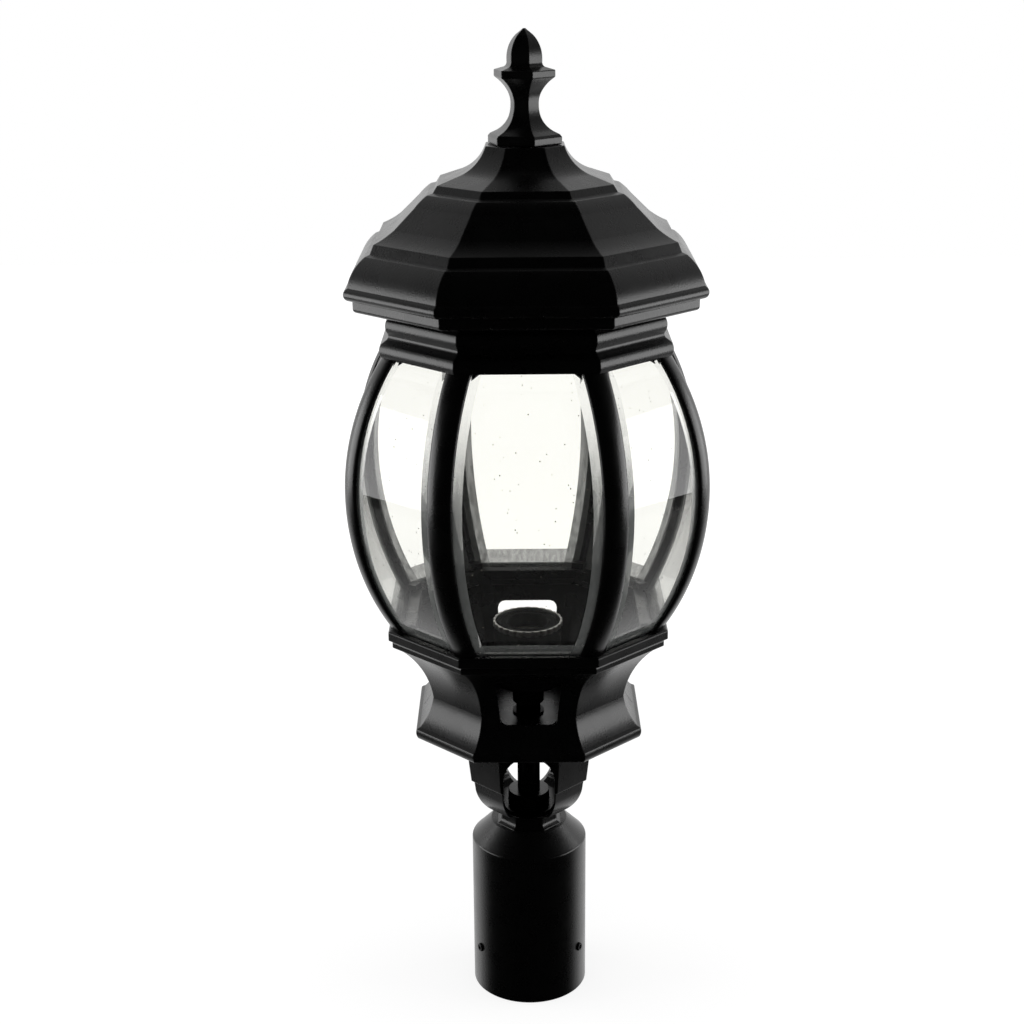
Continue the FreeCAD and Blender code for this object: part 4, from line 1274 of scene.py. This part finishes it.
    def hang(self, shop: Workshop, node: str, pane: Shell, turn: float) -> None:
        """Turn a pane into place, weight its bevels for their painted shade and let the lamps' light through
        it.

        Args:
            shop: what pieces are made and dressed with.
            node: plain solid that it replaces.
            pane: the pane, facing the front.
            turn: degrees about the axis.
        """
        name = node.replace("pane", "glass")
        piece = shop.add(name, [pane.moved(turn)], Finish.GLASS, node, sharp=self.bevel_sharp)
        # painted shade weight of each face: full on the side bevels, less on the foot bevel
        painted_shade_weight = []
        for face in pane.faces:
            rows, columns = {i // 6 for i in face}, {i % 6 for i in face}
            foot = self.foot_painted_shade if rows == {0, 1} and columns == {2, 3} else 0.0
            painted_shade_weight.append(1.0 if columns in ({1, 2}, {3, 4}) else foot)
        piece.data.attributes.new("painted_shade_weight", "FLOAT", "FACE").data.foreach_set("value", painted_shade_weight)
        piece.visible_shadow = False

    def screw_places(self, end: float) -> list[Point]:
        """Work out the axes of the eight screws at one end of the ribs.

        Args:
            end: height of that end.

        Returns:
            Place of each axis.
        """
        radius = np.array(float(self.meet(end)) - self.lug_setback - 0.5 * self.lug_depth)
        x, y, _ = self.at_corner(radius, np.array(0.0), np.array(0.0))
        places = []
        for turn in range(4):
            c, s = round(math.cos(turn * TURN / 4)), round(math.sin(turn * TURN / 4))
            places += [(x * c - y * s, x * s + y * c), (-x * c - y * s, -x * s + y * c)]
        return places

    def screws(self, shop: Workshop) -> None:
        """Build slotted pan-head screws, eight up through the flange and eight down.

        Args:
            shop: what pieces are made and dressed with.
        """
        for name, node, seat, end, up in (
                ("ring_screws", "cage_screws_lower", RING_BASE - 4.0, RIB_BASE + self.lug_height - 0.5, True),
                ("frieze_screws", "cage_screws_upper", FRIEZE_BASE + 5.5,
                 FRIEZE_BASE - self.lug_height + 0.5, False)):
            screw = pan_head(1.5, 2.75, 2.0, abs(end - seat), 0.6)
            if up:
                screw = Shell(screw.points * np.array([1.0, 1.0, -1.0]), [face[::-1] for face in screw.faces])
            places = self.screw_places(RIB_BASE if up else FRIEZE_BASE)
            shells = [screw.moved(shift=(x, y, end)) for x, y in places]
            shop.add(name, shells, Finish.ZINC, node)


def pan_head(shank: float, head: float, head_height: float, length: float, slot: float) -> Shell:
    """Pan-head screw with its tip at height zero and a driver slot across its head.

    Args:
        shank: radius of the shank.
        head: radius of the head.
        head_height: height of the head.
        length: from the tip to the head's seat.
        slot: half width of the slot.

    Returns:
        The shell.
    """
    top = length + head_height
    outline = drawn(
        (shank - 0.4, 0.0), (shank, 0.6), (shank, length), (head, length),
        (head, length + 0.5 * head_height),
        ((head - 0.25 * head_height, top - 0.1 * head_height), (0.5 * head, top)), arc_steps=5)
    blade = prism([(-head - 1, -slot), (head + 1, -slot), (head + 1, slot), (-head - 1, slot)],
                  top - 0.55 * head_height, top + 2.0, 0.02)
    return cut(revolved(outline, False, 32), [blade])


# ------------------------------------------------------------------ roof and finial
@dataclass
class Roof:
    """Two tiers over an ovolo eave, a bead and a fascia."""
    eave: float = 114.9
    fascia: float = 109.4
    opening: float = 82.0
    wall: float = 3.0
    soffit: float = 3.0
    stud_hole: float = 3.4
    arris: float = 0.9
    mitre: float = 1.8

    def tiers(self, inset: float) -> list[Any]:
        """List the steps of the outline from the bead to the crown, moved in and down.

        Args:
            inset: how far they are moved each way.

        Returns:
            Steps as drawn() takes them.
        """
        steps: list[Any] = [
            ((109.0, 25.6), (101.1, 34.7)), (98.0, 36.0), (95.6, 42.0), ((88.3, 45.9), (82.7, 50.0)),
            (70.0, 62.8), ((66.1, 67.0), (62.2, 70.2)), (58.6, 71.2), (55.8, 75.7), (43.6, 80.2),
            ((31.2, 88.0), (25.2, 98.6))]
        base = ROOF_BASE - inset
        moved: list[Any] = []
        for step in steps:
            if isinstance(step[0], tuple):
                moved.append(tuple((c - inset, z + base) for c, z in step))
            else:
                moved.append((step[0] - inset, step[1] + base))
        return moved

    def build(self, shop: Workshop) -> None:
        """Build the casting as one closed skin, outside and core.

        Args:
            shop: what pieces are made and dressed with.
        """
        base = ROOF_BASE
        outer = drawn(
            (self.opening, base), (self.fascia - 2.3, base),
            ((self.fascia - 0.6, base + 1.1), (self.fascia - 0.1, base + 3.1)),
            (self.fascia, base + 8.1), (self.eave - 2.6, base + 8.1),
            ((self.eave, base + 12.1), (self.eave - 1.7, base + 15.4)),
            (self.eave - 2.4, base + 15.9), *self.tiers(0.0), (self.stud_hole, ROOF_TOP))
        inner = drawn(
            (self.opening, base + self.soffit), (self.fascia - self.wall, base + self.soffit),
            (self.fascia - self.wall, base + 8.1), (self.eave - 2.4 - self.wall, base + 15.9 - self.wall),
            *self.tiers(self.wall), (self.stud_hole, ROOF_TOP - self.wall))
        skin = eased(np.concatenate([outer, inner[::-1]]), self.arris, True)
        roof = Plan.octagon(self.mitre).carry(skin, True)
        shop.add("roof_casting", [roof], Finish.COAT, "roof", body="roof")


@dataclass
class Finial:
    """Six-sided knob: plate, waist, collar and bulb."""
    sides: int = 6
    turn: float = -46.0
    base: float = 24.8
    waist: float = 9.5
    collar: float = 20.4
    bulb: float = 11.9
    bore: float = 3.08
    bore_depth: float = 17.0
    arris: float = 0.7
    mitre: float = 0.9

    def build(self, shop: Workshop) -> None:
        """Build the knob with its blind bore as one closed skin.

        Args:
            shop: what pieces are made and dressed with.
        """
        z = ROOF_TOP + SEAT_GAP
        neck, ring = z + 24.0, z + 43.8
        outline = drawn(
            (self.bore, z + self.bore_depth), (self.bore, z), (self.base - 0.5, z), (self.base, z + 0.5),
            (self.base, z + 4.5), (self.base - 1.4, z + 6.1), (self.base - 5.6, z + 8.0),
            ((self.waist + 4.4, z + 12.0), (self.waist + 1.4, z + 16.6)),
            ((self.waist + 0.2, z + 21.2), (self.waist, neck)),
            ((self.waist + 0.5, neck + 5.0), (self.waist + 2.6, neck + 9.6)),
            ((self.waist + 5.7, neck + 13.5), (self.collar - 0.6, ring - 2.6)), (self.collar, ring - 1.8),
            (self.collar, ring + 2.1), (self.collar - 5.8, ring + 3.7),
            ((self.bulb + 0.5, ring + 5.0), (self.bulb, ring + 7.2)), (self.bulb, ring + 9.6),
            ((self.bulb - 1.4, ring + 16.6), (self.bulb - 6.2, ring + 23.7)), (0.8, z + 71.2))
        knob = Plan.regular(self.sides, self.turn, self.mitre).carry(eased(outline, self.arris, False), False)
        shop.add("finial_knob", [knob], Finish.COAT, "finial", body="finial")


# ------------------------------------------------------------------ fixings
@dataclass
class Fixings:
    """Strap, stud, tube, nuts, washers and screws."""
    strap_base: float = ROOF_BASE - 2.7
    strap_thickness: float = 2.5
    strap_screw: float = 73.0
    stud: float = 3.0
    tube: float = 5.0

    def build(self, shop: Workshop) -> None:
        """Build the threaded and six-sided pieces and dress the plain ones.

        Args:
            shop: what pieces are made and dressed with.
        """
        strap_top = self.strap_base + self.strap_thickness
        seat = ROOF_TOP + SEAT_GAP
        stud = threaded(self.stud, 0.35, 1.0, self.strap_base - 6.0, seat + 15.0)
        shop.add("threaded_stud", [stud], Finish.ZINC, "finial_stud")
        nuts = [hexagon_nut(10.0, 3.05, low, low + 5.0) for low in (self.strap_base - 5.0, strap_top)]
        shop.add("stud_lock_nuts", nuts, Finish.ZINC, "stud_nuts")
        screw = pan_head(2.0, 3.6, 2.6, 9.5, 0.5)
        screws = [screw.moved(shift=(x, 0.0, strap_top - 9.5)) for x in (-self.strap_screw, self.strap_screw)]
        shop.add("strap_pan_screws", screws, Finish.ZINC, "strap_screws")
        lower_top = FITTER_TOP - 3.0 - 1.5
        upper_low = PEDESTAL_BASE + 3.5 + 1.5
        tube = threaded(self.tube, 0.3, 1.0, lower_top - 9.2, upper_low + 24.0, bore=self.tube - 1.25,
                        columns=24)
        shop.add("threaded_tube", [tube], Finish.BLACK_ZINC, "lamp_tube")
        nuts = [hexagon_nut(17.0, 5.05, low, low + 6.0) for low in (lower_top - 6.0, upper_low)]
        shop.add("tube_lock_nuts", nuts, Finish.BLACK_ZINC, "tube_nuts")
        shop.keep(Finish.ZINC, "roof_strap")
        shop.keep(Finish.BLACK_ZINC, "tube_washers")
        shop.keep(Finish.OXIDE, "set_screw_1", "set_screw_2", "set_screw_3")
        shop.keep(Finish.BRASS, "earth_screw")


# ------------------------------------------------------------------ lampholder
@dataclass
class Lampholder:
    """Foot, drawn cup, notched rim, insulating insert, screw shell and centre contact."""
    foot_base: float = PEDESTAL_BASE + 11.0
    radius: float = 23.4
    height: float = 44.5
    wall: float = 1.4
    rim_radius: float = 24.2
    rim_inner: float = 22.6
    rim_height: float = 3.5
    teeth: int = 26
    notch: float = 1.0
    mouth: float = 14.4
    depth: float = 31.0
    recess: float = 1.2
    contact_height: float = 3.0
    contact_clearance: float = 1.0
    shell_drop: float = 9.5
    shell_outer: float = 13.93
    shell_inner: float = 13.43
    hole: float = 5.05

    def build(self, shop: Workshop) -> None:
        """Build the six pieces.

        Args:
            shop: what pieces are made and dressed with.
        """
        base = self.foot_base + 15.0
        top = base + self.height
        rim_top = top + self.rim_height
        foot = drawn(
            (self.hole, self.foot_base), (9.5, self.foot_base), (11.0, self.foot_base + 1.5),
            (11.0, base - 3.0), (13.0, base), (self.hole, base))
        shop.add("holder_foot", [revolved(eased(foot, 0.5, True), True)], Finish.PHENOLIC, "lampholder_foot")
        inner = self.radius - self.wall
        cup = drawn(
            (self.hole, base), (self.radius - 3.0, base),
            ((self.radius - 0.9, base + 0.9), (self.radius, base + 3.0)), (self.radius, base + 30.0),
            ((self.radius - 0.5, base + 31.0), (self.radius, base + 32.0)), (self.radius, top),
            (inner, top), (inner, base + 2.0), (self.hole, base + 2.0), arc_steps=7)
        shop.add("holder_cup", [revolved(eased(cup, 0.3, True), True)], Finish.PHENOLIC, "lampholder_cup")
        rim = drawn((self.rim_inner, top), (self.rim_radius, top), (self.rim_radius, rim_top),
                    (self.rim_inner, rim_top))

        def notched(r: np.ndarray, bearing: np.ndarray, height: np.ndarray) -> np.ndarray:
            """Return the radius lost to the finger notches: their depth times a cosine cubed."""
            tooth = (0.5 + 0.5 * np.cos(self.teeth * bearing)) ** 3
            return np.where(r > self.rim_inner + 0.8, -self.notch * tooth, 0.0)

        ring = revolved(eased(rim, 0.25, True, 3), True, 240, notched)
        shop.add("holder_rim", [ring], Finish.NICKEL, "lampholder_rim")
        face = rim_top - self.recess
        well = face - self.depth
        shell_foot = well + self.contact_height + self.contact_clearance
        outer = inner - SEAT_GAP
        insert = drawn(
            (8.0, base + 2.0), (outer, base + 2.0), (outer, face), (self.mouth + 5.0, face),
            (self.mouth + 4.4, face - 0.8), (self.mouth + 1.6, face - 0.8), (self.mouth + 1.0, face),
            (self.mouth, face), (self.mouth, shell_foot), (self.mouth - 0.4, shell_foot),
            (self.mouth - 0.4, well), (0.5, well), (0.5, base + 8.0), (8.0, base + 8.0))
        block = revolved(eased(insert, 0.35, True, 3), True)
        shop.add("holder_insert", [block], Finish.PHENOLIC, "lampholder_insert")
        shell = self.screw_shell(shell_foot, face - self.shell_drop)
        shop.add("holder_shell", [shell], Finish.NICKEL, "lampholder_shell")
        contact = drawn(
            (4.0, well), (4.0, well + 0.8), ((2.9, well + 1.2), (1.9, well + 2.4)),
            ((1.0, well + 3.0), (0.3, well + 3.0)), arc_steps=6)
        shop.add("holder_contact", [revolved(contact, False, 48)], Finish.BRASS, "lampholder_contact")

    def screw_shell(self, low: float, high: float) -> Shell:
        """Make the thin shell with a rolled thread: both walls follow the same helix.

        The radius is the mean plus 0.32 mm times the sine of (height over 3.6 mm minus
        bearing over a turn).

        Args:
            low: foot.
            high: head.

        Returns:
            The shell.
        """
        rows, depth, pitch = 72, 0.32, 3.6
        z = np.linspace(low, high, rows)
        outline = np.concatenate([np.column_stack([np.full(rows, self.shell_outer), z]),
                                  np.column_stack([np.full(rows, self.shell_inner), z[::-1]])])

        def rolled(r: np.ndarray, bearing: np.ndarray, height: np.ndarray) -> np.ndarray:
            """Return the radius added by the rolled thread."""
            return depth * np.sin(TURN * height / pitch - bearing)

        return revolved(outline, True, 64, rolled)


# ------------------------------------------------------------------ studio
@dataclass
class Studio:
    """Pale floor, soft lamps left and right, and the camera at the photograph's place."""
    camera_place: tuple[float, float, float] = (-0.0044, -1.1606, 0.7385)
    tilt: float = 18.03
    orbit: float = 0.293
    roll: float = -0.513
    focal_px: float = 1785.9
    frame_px: float = 1024.0
    sensor: float = 36.0
    side_radiance: float = 3.4
    fill: float = 0.45
    floor_half: float = 3.0
    shadow_share: float = 0.3
    glow_near: float = 0.3
    glow_far: float = 1.1
    side_place: tuple[float, float, float] = (1.25, 0.05, 0.43)
    side_size: tuple[float, float] = (1.1, 0.7)
    top_place: tuple[float, float, float] = (0.0, -0.2, 2.2)
    top_size: tuple[float, float] = (1.6, 1.6)
    top_radiance: float = 1.2

    def build(self) -> None:
        """Build camera, world, floor and lamps."""
        self.camera()
        self.world()
        self.floor()
        x, y, z = self.side_place
        for name, side in (("side_lamp_left", -x), ("side_lamp_right", x)):
            self.lamp(name, (side, y, z), self.side_size, (0.0, 0.0, 0.40), self.side_radiance, True)
        self.lamp("top_lamp", self.top_place, self.top_size, (0.0, 0.0, 0.3), self.top_radiance, False)

    def camera(self) -> None:
        """Stand the camera where the fitted photograph was taken from."""
        data = bpy.data.cameras.new("studio_camera")
        data.sensor_width = self.sensor
        data.lens = self.focal_px / self.frame_px * self.sensor
        data.clip_end = 50.0
        camera = bpy.data.objects.new("studio_camera", data)
        bpy.context.scene.collection.objects.link(camera)
        turn = (Matrix.Rotation(math.radians(self.orbit), 4, "Z")
                @ Matrix.Rotation(math.radians(90.0 - self.tilt), 4, "X")
                @ Matrix.Rotation(math.radians(self.roll), 4, "Z"))
        camera.location = self.camera_place
        camera.rotation_euler = turn.to_euler()
        bpy.context.scene.camera = camera

    def world(self) -> None:
        """Make the world white to the eye and through glass, and in gloss white behind only.

        A glossy ray's direction (x, y, z) sees one where y is well above zero, which
        fades out overhead and towards the front.
        """
        world = bpy.data.worlds.new("studio_world")
        bpy.context.scene.world = world
        world.use_nodes = True
        world.cycles.sampling_method = "NONE"
        tree = world.node_tree
        tree.nodes.clear()
        ray = add_node(tree, "ShaderNodeTexCoord").outputs["Generated"]
        way = add_node(tree, "ShaderNodeSeparateXYZ", {}, {"0": ray})
        behind = add_node(tree, "ShaderNodeMapRange", {
            "interpolation_type": "SMOOTHSTEP", "in:1": 0.0, "in:2": 0.55}, {"0": way.outputs["Y"]})
        low = add_node(tree, "ShaderNodeMapRange", {
            "interpolation_type": "SMOOTHSTEP", "in:1": 0.35, "in:2": 0.85, "in:3": 1.0, "in:4": 0.12},
            {"0": way.outputs["Z"]})
        gloss = add_node(tree, "ShaderNodeMath", {"operation": "MULTIPLY"}, {
            "0": behind.outputs[0], "1": low.outputs[0]})
        seen, mirrored = self.sight(tree)
        fill = add_node(tree, "ShaderNodeMix", {"in:2": self.fill}, {"0": mirrored, "3": gloss.outputs[0]})
        total = add_node(tree, "ShaderNodeMix", {"in:3": 1.0}, {"0": seen, "2": fill.outputs[0]})
        light = add_node(tree, "ShaderNodeBackground", {"in:Color": WHITE}, {"Strength": total.outputs[0]})
        out = add_node(tree, "ShaderNodeOutputWorld")
        tree.links.new(light.outputs[0], out.inputs["Surface"])

    def sight(self, tree: Any) -> tuple[Any, Any]:
        """Tell the rays that reach the eye straight or through glass from mirrored ones.

        Args:
            tree: node tree that takes the nodes.

        Returns:
            Sockets that are one for a ray seen straight or through glass, and one for a
            ray that a glossy face has turned on its way.
        """
        rays = add_node(tree, "ShaderNodeLightPath")
        mirrored = add_node(tree, "ShaderNodeMath", {"operation": "GREATER_THAN", "in:1": 0.5}, {
            "0": rays.outputs["Glossy Depth"]})
        through = add_node(tree, "ShaderNodeMath", {"operation": "SUBTRACT", "use_clamp": True}, {
            "0": rays.outputs["Is Transmission Ray"], "1": mirrored.outputs[0]})
        seen = add_node(tree, "ShaderNodeMath", {"operation": "MAXIMUM"}, {
            "0": rays.outputs["Is Camera Ray"], "1": through.outputs[0]})
        return seen.outputs[0], mirrored.outputs[0]

    def floor(self) -> None:
        """Lay the pale floor: white to the eye except for the soft shadow, and unseen in gloss.

        It glows a little less than white near the object, where the lamps add the rest
        except in the shadow, and rises to white farther off, where their light fades.
        """
        half = self.floor_half
        corners = [(-half, -half, 0.0), (half, -half, 0.0), (half, half, 0.0), (-half, half, 0.0)]
        mesh = bpy.data.meshes.new("studio_floor")
        mesh.from_pydata(corners, [], [(0, 1, 2, 3)])
        floor = bpy.data.objects.new("studio_floor", mesh)
        bpy.context.scene.collection.objects.link(floor)
        floor.visible_glossy = False
        material, tree, out, place = new_tree("studio_floor_white")
        lit = add_node(tree, "ShaderNodeBsdfDiffuse", {"in:Color": linear("#f4f4f2")})
        faint = add_node(tree, "ShaderNodeBsdfDiffuse", {"in:Color": (*[self.shadow_share] * 3, 1.0)})
        away = add_node(tree, "ShaderNodeVectorMath", {"operation": "LENGTH"}, {"0": place})
        rise = add_node(tree, "ShaderNodeMapRange", {
            "interpolation_type": "SMOOTHSTEP", "in:1": self.glow_near, "in:2": self.glow_far,
            "in:3": 1.0 - 0.7 * self.shadow_share, "in:4": 1.0}, {"0": away.outputs["Value"]})
        glow = add_node(tree, "ShaderNodeEmission", {"in:Color": WHITE}, {"Strength": rise.outputs[0]})
        white = add_node(tree, "ShaderNodeAddShader", {}, {"0": glow.outputs[0], "1": faint.outputs[0]})
        seen, mirrored = self.sight(tree)
        grey = add_node(tree, "ShaderNodeBsdfDiffuse", {"in:Color": linear("#a0a0a0")})
        unseen = add_node(tree, "ShaderNodeMixShader", {}, {
            "0": mirrored, "1": lit.outputs[0], "2": grey.outputs[0]})
        mix = add_node(tree, "ShaderNodeMixShader", {}, {
            "0": seen, "1": unseen.outputs[0], "2": white.outputs[0]})
        tree.links.new(mix.outputs[0], out.inputs["Surface"])
        mesh.materials.append(material)

    def lamp(self, name: str, place: Sequence[float], size: tuple[float, float], aim: Sequence[float],
             radiance: float, glossy: bool) -> None:
        """Hang one soft area lamp.

        Args:
            name: name of the lamp.
            place: where its middle is, in metres.
            size: its width and height, in metres.
            aim: point that it faces.
            radiance: how bright its face is, where one is white.
            glossy: whether reflections show it.
        """
        data = bpy.data.lights.new(name, "AREA")
        data.shape = "RECTANGLE"
        data.size, data.size_y = size
        data.energy = radiance * math.pi * size[0] * size[1]
        lamp = bpy.data.objects.new(name, data)
        bpy.context.scene.collection.objects.link(lamp)
        lamp.location = place
        away = np.array(place) - np.array(aim)
        back = away / np.linalg.norm(away)
        across = np.array([1.0, 0.0, 0.0]) if back[2] > 0.95 else np.cross((0.0, 0.0, 1.0), back)
        across = across / np.linalg.norm(across)
        up = np.cross(back, across)
        lamp.rotation_euler = Matrix(np.column_stack([across, up, back]).tolist()).to_euler()
        lamp.visible_camera = False
        lamp.visible_transmission = False
        lamp.visible_glossy = glossy


def main() -> None:
    """Build every sub-assembly from the post up, then the studio."""
    logging.basicConfig(level=logging.INFO, format="%(message)s", stream=sys.stdout)
    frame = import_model()
    shop = Workshop(frame)
    for part in (Fitter(), Neck(), Pedestal(), Cage(), Roof(), Finial(), Fixings(), Lampholder()):
        part.build(shop)
    Studio().build()
    bpy.context.scene.view_settings.view_transform = "Standard"
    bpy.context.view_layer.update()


if __name__ == "__main__":
    main()
